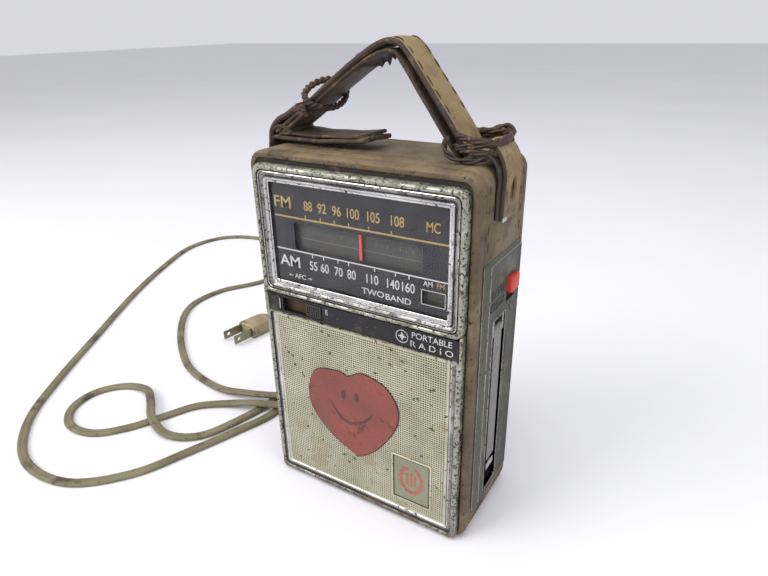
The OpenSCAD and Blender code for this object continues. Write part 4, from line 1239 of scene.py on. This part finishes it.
def panelRing(setup, share, x, extra=0.0):
    y0, y1 = setup["y"]
    z0, z1 = setup["z"]
    front = setup["frontBevel"] * share + extra
    other = setup["bevel"] * share + extra
    ring = roundedRing(y0 + front, y1 - other, z0 + other, z1 - other, 0.6, 3)
    return [Vector((x, y, z)) * mm for y, z in ring]


def buildPanel(setup):
    base, face = setup["base"], setup["face"]
    rings = [panelRing(setup, 0, base - 0.4), panelRing(setup, 0, base + 0.35),
             panelRing(setup, 0.06, base + 0.5), panelRing(setup, 0.90, face - 0.12),
             panelRing(setup, 0.93, face), panelRing(setup, 1.0, face, 0.15),
             panelRing(setup, 1.0, face - 0.12, 0.3)]
    plate = loft("panel", rings, True, True, bands=[1, 2, 1, 2, 2, 0])
    y0, y1, z0, z1 = setup["recess"]
    ky0, ky1, kz0, kz1 = setup["slot"]
    cutter = joinMeshes("cutter", [(softBox("a", (50, y0, z0), (60, y1, z1), 0), 0),
                                   (softBox("b", (50, ky0, kz0), (60, ky1, kz1), 0), 0)])
    plate = carve(plate, cutter)
    deep = face - 5
    tray = carve(softBox("tray", (deep - 1, y0 - 1, z0 - 1), (face - 0.65, y1 + 1, z1 + 1), 0.2),
                 softBox("hollow", (deep, y0, z0), (60, y1, z1), 0.3))
    steps = []
    for i, x in setup["rim"]:
        ring = roundedRing(y0 - i, y1 + i, z0 - i, z1 + i, 0.4 + i, 3)
        steps.append([Vector((face + x, y, z)) * mm for y, z in ring])
    mesh = keepBands("side_plate", [(plate, None), (tray, 3), (loft("rim", steps), 2)])
    piece = addPiece("side_plate", mesh, "radio",
                     ["panelGreen", "panelEdge", "slopeMetal", "stripBlack"], 30)
    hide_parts("side_panel")
    x = face - 0.06
    words = [(lettering("BAND", 5.4, (x, -4.4, 119.0), 0.86, "x", 0.3, bold=0.02), 0),
             (lettering("SWITCH", 5.2, (x, -4.4, 113.4), 0.72, "x", 0.3, bold=0.02), 0)]
    for z0, z1, row in ((71, 94, 9.3), (29, 53, 9.3)):
        for k in range(7):
            low = z0 + (z1 - z0) * k / 7
            end = row + (1.1 if k % 2 else 0.4)
            words.append((softBox("mark", (x - 0.1, row - 1.2, low), (x + 0.08, end, low + 1.7), 0.05), 0))
    arrow = [(11.6, 104.0), (9.6, 107.2), (13.6, 107.2)]
    words.append((prism("arrow", arrow, x + 0.1, x - 0.1, "x"), 0))
    addPiece("side_print", joinMeshes("side_print", words), "radio", "blackPlastic", 0)
    knob = softBox("knob", (51, 5.6, 114.6), (58.1, 14.9, 121.6), 1.1, 4)
    ribs = [(softBox("rib", (57.4, 6.5, 115.6 + 1.15 * k), (58.2, 14.0, 116.1 + 1.15 * k), 0.18), 0)
            for k in range(5)]
    slider = addPiece("band_slider", joinMeshes("band_slider", [(knob, 0)] + ribs), "band",
                      "knobRed", 35)
    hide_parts("band_knob")
    print("side panel built")


buildPanel(panelSetup)


# Strap, its tabs and the wires that mend it

strapSetup = {
    "half": 9.0,
    "thick": 2.2,
    "liningThick": 1.5,
    "line": [(-52, 176.2), (-39, 184.8), (-21, 198), (-4, 209.3), (4, 213.2), (9, 213.8), (14, 211.2),
             (23.5, 199), (31.8, 188), (38, 179), (41, 173.5)],
    "gaps": [0.3, 0.3, 0.3, 0.6, 1.4, 1.8, 1.8, 2.4, 2.8, 2.6, 1],
    "rightTab": [(56, 150), (56.3, 160), (56.6, 168), (54.6, 174.5), (51, 178), (46, 177.5)],
    "leftTab": [(-56, 150), (-56.3, 160), (-56.6, 168), (-55.6, 172), (-52.6, 173.8), (-46, 173.6),
                (-30, 173.6), (-14, 174.4), (-2, 175.6)],
    "bendStart": (0, 0, 0.176),
    "bendEnd": (0, 0, 0.195),
    "rootWrap": [(-55.5, 171.6), (-54.6, 177.0), (-50.5, 181.0), (-44.5, 184.2), (-38.5, 188.2)],
    "threads": ((-6.5, 203.9, 2.6), (-1.2, 205.0, 2.2), (3.6, 206.6, 2.8)),   # x, z and length
    "eyelet": (0.6, 161.2),   # y and z of its middle
    "eyeletSteps": ((0.0, 0.1), (0.15, 0.75), (0.55, 1.0), (0.95, 0.8), (1.05, 0.25)),
    # the line of the painted shadow strip beside the right tab's front edge
    "tabShadowStrip": [(55.2, 151.5), (55.3, 160), (55.5, 168), (53.4, 173.2), (49.5, 175.9)],
    "layer": [(-50, 175.4), (-43, 175.8), (-30, 175.6), (-14, 176.3), (-4, 177.3)],
    "fold": [(-55.2, 171.6), (-54.4, 176.2), (-51, 178.6), (-46.5, 178.0), (-44, 175.9)],
    "knot": (-2.2, -5.5, 176.6),
}


def inPlane(points):
    return standing(points, 0)


def crinkle(q, seed):
    # a small uneven move of a leather band, the same at every run
    return Vector((0.35 * noise.noise(q + Vector((seed, 0, 0))),
                   0.8 * noise.noise(q + Vector((0, seed, 0))),
                   noise.noise(q + Vector((0, 0, seed)))))


def lowered(line, drops):
    # moves each point of a strap line to its under side
    result = []
    for i, p in enumerate(line):
        along = heading(line, i)
        result.append(p + Vector((along.z, 0, -along.x)) * drops[i])
    return result


def fineDrops(values, steps, extra):
    line = smoothLine([Vector((v, 0, 0)) for v in values], steps)
    return [(p.x + extra) * mm for p in line]


def bandStitches(name, line, half, thick, body, spans, inset=2.2):
    # slits with a thread in them along both edges of a band; spans are shares of its length
    lengths = [0.0]
    for a, b in zip(line, line[1:]):
        lengths.append(lengths[-1] + (b - a).length)

    def at(s):
        for i in range(len(line) - 1):
            if lengths[i + 1] >= s:
                t = (s - lengths[i]) / (lengths[i + 1] - lengths[i])
                along = (line[i + 1] - line[i]).normalized()
                return line[i].lerp(line[i + 1], t), Vector((-along.z, 0, along.x))
        along = (line[-1] - line[-2]).normalized()
        return line[-1], Vector((-along.z, 0, along.x))

    parts = []
    for low, high in spans:
        s = low * lengths[-1]
        while s < high * lengths[-1]:
            for side in (-1, 1):
                long = random.uniform(3.4, 4.6) * mm
                stitch = []
                for k in range(5):
                    p, up = at(min(s + long * k / 4, lengths[-1]))
                    sink = -0.25 if k in (0, 4) else 0.10
                    lift = (thick / 2 + sink) * mm
                    stitch.append(p + up * lift + Vector((0, side * (half - inset) * mm, 0)))
                parts.append((sweep("stitch", stitch, roundSection(0.33 * mm, 6), Vector((0, 1, 0))), 0))
            s += 6.3 * mm
    return addPiece(name, joinMeshes(name, parts), body, "thread", 60)


def bandMesh(name, line, half, thick, crown=0.25, amount=0.35, seed=1.0, taper=None):
    # a leather band in the x and z plane whose width lies along y
    section = bandSection(half, thick, crown=crown)
    rings = []
    for i, p in enumerate(line):
        along = heading(line, i)
        up = Vector((-along.z, 0, along.x))
        width = taper(i / (len(line) - 1)) if taper else 1
        points = [p + Vector((0, s * width * mm, 0)) + up * u * mm for s, u in section]
        rings.append([point + crinkle(point * 90, seed) * amount * mm for point in points])
    mesh = loft(name, rings, True, True)
    # the cut edges of the leather are darker than its face
    for face in mesh.polygons:
        if abs(face.normal.y) > 0.5 or len(face.vertices) > 4:
            face.material_index = 1
    return mesh


def buildStrap(setup):
    steps = 5
    line = smoothLine(inPlane(setup["line"]), steps)
    half, thick, lining = setup["half"], setup["thick"], setup["liningThick"]
    outer = addPiece("strap_band", bandMesh("strap_band", line, half, thick, 0.35, 0.3, 2.0), None,
                     ["strapLeather", "leatherEdge"], 50)
    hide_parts("strap_outer", "strap_ends")
    under = lowered(line, fineDrops(setup["gaps"], steps, thick / 2 + lining / 2))
    innerBand = bandMesh("strap_inner_band", under, half - 0.3, lining, 0.1, 0.45, 5.0)
    inner = addPiece("strap_inner_band", innerBand, None,
                     ["darkLeather", "leatherEdge"], 50)
    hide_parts("strap_lining")
    slits = bandStitches("strap_stitches", line, half, thick + 0.3, None, [(0.58, 0.86), (0.12, 0.46)])
    wrapLine = smoothLine(inPlane(setup["rootWrap"]), 6)
    wrap = addPiece("root_wrap", bandMesh("root_wrap", wrapLine, half + 0.7, 2.4, 0.3, 0.8, 37.0), None,
                    ["blackLeather", "leatherEdge"], 50)
    for piece in (outer, inner, slits, wrap):
        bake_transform(piece)
    # the lining is torn under the top of the strap and hangs down
    flapLine = [p for p in under if -10 * mm < p.x < 9.5 * mm]
    verts, faces = [], []
    rows = 7
    n = len(flapLine)
    for i, p in enumerate(flapLine):
        share = i / (n - 1)
        torn = 4.2 * math.sin(math.pi * min(1, share * 1.02)) ** 0.7
        torn += 2.4 * noise.noise(Vector((share * 7, 1, 2)))
        depth = max(0.6, torn) * mm
        for k in range(rows):
            t = k / (rows - 1)
            x = p.x + 0.6 * mm * noise.noise(Vector((share * 5, t * 2, 8)))
            y = -half + 0.8 + 3.2 * t * t + 0.5 * noise.noise(Vector((share * 6, t * 3, 5)))
            verts.append(Vector((x, y * mm, p.z - lining / 2 * mm - depth * t)))
    for i in range(n - 1):
        for k in range(rows - 1):
            faces.append((i * rows + k, (i + 1) * rows + k, (i + 1) * rows + k + 1, i * rows + k + 1))
    flap = meshFrom("flap", verts, faces)
    work = bmesh.new()
    work.from_mesh(flap)
    bmesh.ops.recalc_face_normals(work, faces=work.faces)
    bmesh.ops.solidify(work, geom=work.faces[:], thickness=0.7 * mm)
    work.to_mesh(flap)
    work.free()
    parts = [(flap, 0)]
    for x, z, long in setup["threads"]:
        hang = inMetres([(x + 0.5 * math.sin(k * 1.3 + x), -6.6 - 0.2 * k, z - long * k / 5)
                         for k in range(6)])
        parts.append((sweep("frayed", hang, roundSection(0.17 * mm, 5), Vector((1, 0, 0)),
                            scale=lambda t: 1 - 0.6 * t), 1))
    addPiece("torn_lining", joinMeshes("torn_lining", parts), "strap",
             ["blackLeather", "thread"], 50)
    print("strap built")


def buildTabs(setup):
    right = smoothLine(inPlane(setup["rightTab"]), 6)
    left = smoothLine(inPlane(setup["leftTab"]), 6)
    half = setup["half"]
    tab = bandMesh("right", right, half, 2.0, 0.1, 0.3, 11.0,
                   taper=lambda t: 1 - 0.10 * max(0, 1 - t * 5) ** 2)
    cy, cz = setup["eyelet"]
    tab = carve(tab, prism("hole", oval(cy, cz, 2.7, 4.9, 28), 52, 60, "x"))
    eyelet = [[Vector((56.45 + out, y, z)) * mm for y, z in oval(cy, cz, 2.35 + r, 4.55 + r, 36)]
              for r, out in setup["eyeletSteps"]]
    worn = loft("eyelet", eyelet)
    fill = prism("patch", oval(cy, cz, 2.9, 5.1, 24), 55.4, 55.1, "x")
    rightPiece = addPiece("right_tab", tab, "radio", ["strapLeather", "leatherEdge"], 50)
    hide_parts("strap_tabs")
    addPiece("right_tab_eyelet", joinMeshes("right_tab_eyelet", [(worn, 0), (fill, 0)]), "radio",
             "eyeletRust", 50)
    # a painted shadow: a near-black strip on the case side under the tab's front edge, where the tab's
    # shadow falls; and the clip at its foot
    tabShadowStrip = bandMesh("under", smoothLine(inPlane(setup["tabShadowStrip"]), 6), 2.4, 1.3, 0.1, 0.35, 17.0)
    tabShadowStrip.transform(Matrix.Translation((0, -9.3 * mm, 0)))
    addPiece("right_tab_painted_shadow", tabShadowStrip, "radio", ["blackLeather", "blackLeather"], 50)
    clip = softBox("clip", (55.0, -8.0, 149.6), (57.3, -4.4, 151.4), 0.5, 3)
    addPiece("right_tab_clip", clip, "radio", "steel", 40)
    bandStitches("right_tab_stitches", right, half, 2.2, "radio", [(0.05, 0.55)], 1.5)

    def slanted(mesh, x0, lean):
        # trims a band with a slanting cut at its right end
        cutter = prism("cut", [(x0, 160), (x0 + 30, 160), (x0 + 30, 190), (x0, 190)], -20, 20)
        corner = Matrix.Translation((x0 * mm, 0, 0))
        cutter.transform(corner @ Matrix.Rotation(math.radians(lean), 4, "Z") @ corner.inverted())
        return carve(mesh, cutter)

    tail = slanted(bandMesh("tail", left, half, 1.9, 0.1, 0.4, 23.0), -2.5, -14)
    addPiece("left_tab", tail, "radio", ["darkLeather", "leatherEdge"], 50)
    topLine = smoothLine(inPlane(setup["layer"]), 6)
    layer = slanted(bandMesh("layer", topLine, half - 0.5, 1.4, 0.1, 0.5, 29.0), -5.5, -20)
    addPiece("left_tab_layer", layer, "radio", ["darkLeather", "leatherEdge"], 50)
    fold = smoothLine(inPlane(setup["fold"]), 6)
    addPiece("left_fold", bandMesh("left_fold", fold, half + 0.3, 1.5, 0.1, 0.6, 31.0), "radio",
             ["darkLeather", "leatherEdge"], 50)
    kx, ky, kz = setup["knot"]
    bead = []
    for k in range(7):
        a = math.pi * (k / 6 - 0.5)
        ring = oval(ky, kz, 1.5 * math.cos(a), 1.3 * math.cos(a), 12)
        bead.append([Vector((kx + 1.5 * math.sin(a), y, z)) * mm for y, z in ring])
    addPiece("tail_knot", loft("tail_knot", bead, True, True), "radio",
             "blackLeather", 60)
    print("strap tabs built")


def ringLine(cx, cz, wide, deep, tilt, rise=0.0, points=20, seed=0.0):
    # an uneven loop lying round the strap, wide in x and deep in y
    line = []
    for k in range(points):
        a = 2 * math.pi * k / points
        bulge = 1 + 0.05 * noise.noise(Vector((math.cos(a) * 2, math.sin(a) * 2, seed)))
        c, s = math.cos(a), math.sin(a)
        x = math.copysign(abs(c) ** 0.55, c) * wide / 2 * bulge
        y = math.copysign(abs(s) ** 0.55, s) * deep / 2 * bulge
        z = x * math.sin(math.radians(tilt)) + rise * math.sin(2 * a)
        z += 0.35 * noise.noise(Vector((c, s, seed + 4)))
        line.append(Vector((cx + x, y, cz + z)) * mm)
    return line


wireSetup = {
    # name, centre in x and z, width, depth, tilt, rise, seed, wire radius, pitch, strands
    "ties": (("tie_wire_upper", (44.6, 180.2, 17.0, 22.5, -3, 0.6), 1.0, 0.78, 14, 3),
             ("tie_wire_middle", (44.4, 178.0, 17.5, 22.8, 4, -0.5), 5.0, 0.7, 13, 2),
             ("tie_wire_lower", (45.0, 175.8, 17.0, 22.5, -6, -0.4), 2.0, 0.78, 14, 3)),
    # the ends are hooked round at the front corner
    "ends": [[(35.0, -11.2, 180.6), (33.6, -12.2, 178.0), (35.0, -12.6, 174.8), (39.2, -12.4, 172.8),
              (44.4, -11.8, 172.4), (49.6, -11.2, 174.0), (52.4, -10.4, 177.4)],
             [(53.0, 8.4, 180.6), (50.0, 11.0, 182.4), (46.0, 11.6, 181.8), (43.0, 11.5, 179.8)]],
    # the loose ring hangs round the left slope of the strap
    "ringCentre": (-29.0, 0, 192.2),
    "ringAlong": (0.82, 0, 0.57),
    "ringUp": (-0.57, 0, 0.82),
    "ringHalf": 11.2,
    "knot": [(-37.5, -8.0, 185.0), (-35.4, -11.4, 184.4), (-32.6, -11.9, 186.2), (-33.8, -11.2, 188.0),
             (-36.2, -11.0, 186.4), (-34.0, -12.4, 184.8), (-31.6, -11.6, 185.2)],
}


def buildWires(setup):
    ties = [twistedWire(name, ringLine(*ring, seed=seed), radius * mm, pitch * mm, True, strands)
            for name, ring, seed, radius, pitch, strands in setup["ties"]]
    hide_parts("tie_wires")
    for k, points in enumerate(setup["ends"]):
        twistedWire("wire_end_" + str(k + 1), inMetres(points), 0.7 * mm, 11 * mm, False, 2, 6)
    centre, along, up = (Vector(setup[key]) for key in ("ringCentre", "ringAlong", "ringUp"))
    across = Vector((0, 1, 0))
    loop = []
    for k in range(24):
        a = 2 * math.pi * k / 24
        lift = 6.4 if math.sin(a) > 0 else 6.2
        loop.append((centre + across * (setup["ringHalf"] * math.cos(a)) + up * (lift * math.sin(a))
                     + along * (2.8 * math.cos(a) + 0.8 * math.sin(2 * a))) * mm)
    ring = twistedWire("loose_wire_ring", loop, 0.86 * mm, 5 * mm, True, 2, body="strap")
    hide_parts("loose_ring")
    twistedWire("ring_knot", inMetres(setup["knot"]), 0.8 * mm, 5 * mm, False, 2, 6, "strap")
    print("wires:", len(ties) + len(setup["ends"]) + 2)


buildStrap(strapSetup)
buildTabs(strapSetup)
buildWires(wireSetup)


# Back: battery door and a few fittings

doorSetup = {
    "x": (-46.5, 14.5),
    "z": (16.0, 71.5),
    "face": 28.5,
    "hinge": (26.7, 16.0, 1.7),
    "thumb": (-16, 5.2),   # middle and radius of the thumb notch
    "grooves": 5,
    "seamInset": 2.4,
}


def buildDoor(setup):
    x0, x1 = setup["x"]
    z0, z1 = setup["z"]
    y = setup["face"]
    hy, hz, hr = setup["hinge"]
    lid = softBox("lid", (x0, y - 2, z0), (x1, y, z1), 0.5, 3)
    barrel = rod("barrel", (x0, hy, hz), (x1, hy, hz), hr, 24)
    lid = carve(lid, barrel, "UNION")
    lid = carve(lid, rod("bore", (x0 - 2, hy, hz), (x1 + 2, hy, hz), 0.95, 20))
    tx, radius = setup["thumb"]
    lid = carve(lid, rod("thumb", (tx, y + 3.2, 66.5), (tx, y + 3.2, 69.6), radius, 28))
    for k in range(setup["grooves"]):
        z = 58.6 - 1.7 * k
        lid = carve(lid, softBox("groove", (tx - 10, y - 0.45, z), (tx + 10, y + 1, z + 0.7), 0))
    door = addPiece("battery_lid", lid, "door", "caseLeather", 30)
    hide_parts("battery_door")
    # seam up both sides of the lid and along its top
    inset = setup["seamInset"]
    left, right, foot, top = x0 + inset, x1 - inset, z0 + 4, z1 - inset
    corners = (Vector((left, y, foot)), Vector((left, y, top)), Vector((right, y, top)),
               Vector((right, y, foot)))
    parts = []
    for a, b in zip(corners, corners[1:]):
        count = int((b - a).length / 5)
        for k in range(count):
            t0, t1 = (k + 0.15) / count, (k + 0.8) / count
            line = []
            for share, out in ((0, -0.2), (0.3, 0.1), (0.7, 0.1), (1, -0.2)):
                line.append((a.lerp(b, t0 + (t1 - t0) * share) + Vector((0, out, 0))) * mm)
            parts.append((sweep("stitch", line, roundSection(0.3 * mm, 6), Vector((0, 1, 0))), 0))
    addPiece("battery_lid_stitches", joinMeshes("battery_lid_stitches", parts), "door",
             "thread", 60)
    print("battery lid built")


buildDoor(doorSetup)

# Finishes of the CAD pieces that stay as they are
nodeFinishes = {
    "cabinet": "greyPlastic", "dial_window": "clearWindow", "dial_plate": "dialBlack",
    "dial_diffuser": "scaleGrey", "dial_bracket": "steel", "pointer_rail": "steel",
    "dial_pointer": "pointerRed", "dial_cord": "string", "dial_pulley": "brass", "tuning_drum": "nylon",
    "tuning_shaft": "steel", "tuning_wheel": "blackPlastic", "tuning_capacitor": "whitePlastic",
    "volume_wheel": "blackPlastic", "volume_control": "phenolic", "control_strip": "stripBlack",
    "afc_switch": "fibreBoard", "speaker_baffle": "fibreBoard", "speaker_frame": "steel",
    "speaker_cone": "paperCone", "speaker_magnet": "steel", "circuit_board": "phenolic",
    "if_transformers": "steel", "electrolytics": "blueSleeve", "transistors": "blackPlastic",
    "board_posts": "nylon", "case_screws": "steel", "ferrite_rod": "ferriteBlack",
    "ferrite_coil": "copperWire", "power_transformer": "coreIron", "battery_tray": "greyPlastic",
    "batteries": "cellJacket", "battery_contacts": "brass", "door_pin": "steel",
    "earphone_jack": "steel", "band_switch": "steel", "band_flag": "flagGreen",
    "aerial_pivot": "steel", "aerial_base": "aerialMetal", "aerial_middle": "aerialMetal",
    "aerial_tip": "brightMetal",
}


def dressNodes(table):
    for name, finish in table.items():
        node = nodes[name]
        for slot in node.material_slots:
            slot.material = finishes[finish]
        if not node.material_slots:
            node.data.materials.append(finishes[finish])


dressNodes(nodeFinishes)
print("CAD pieces finished:", len(nodeFinishes))

# Floor and studio light

stageSetup = {
    "floorHalf": 6,
    "world": ((0.88, 0.88, 0.94), 0.78),
    # place, aim, width and height in metres, watts, colour
    "lights": (((-0.75, -0.95, 0.95), (0, 0, 0.08), 0.9, 0.7, 14, (1.0, 0.98, 0.95)),
               ((0.10, -0.25, 1.35), (0, 0, 0.1), 1.1, 1.1, 8.5, (1.0, 1.0, 1.0)),
               ((1.15, -0.35, 0.65), (0, 0, 0.1), 0.6, 0.9, 3.5, (0.96, 0.98, 1.0))),
}


def makeStage(setup):
    half = setup["floorHalf"]
    floorMesh = meshFrom("floor", [(-half, -half, 0), (half, -half, 0), (half, half, 0),
                                   (-half, half, 0)], [(0, 1, 2, 3)])
    floor = addPiece("floor", floorMesh, None, "floorPaper", 0)
    world = bpy.data.worlds.new("studio")
    bpy.context.scene.world = world
    world.use_nodes = True
    colour, strength = setup["world"]
    world.node_tree.nodes["Background"].inputs["Color"].default_value = (*colour, 1)
    world.node_tree.nodes["Background"].inputs["Strength"].default_value = strength
    for k, (place, aim, wide, high, power, tint) in enumerate(setup["lights"]):
        data = bpy.data.lights.new("light" + str(k), "AREA")
        data.shape = "RECTANGLE"
        data.size, data.size_y = wide, high
        data.energy, data.color = power, tint
        light = bpy.data.objects.new("light" + str(k), data)
        light.rotation_euler = (Vector(aim) - Vector(place)).to_track_quat("-Z", "Y").to_euler()
        light.location = place
        bpy.context.scene.collection.objects.link(light)


makeStage(stageSetup)
bpy.context.scene.view_settings.view_transform = "Standard"
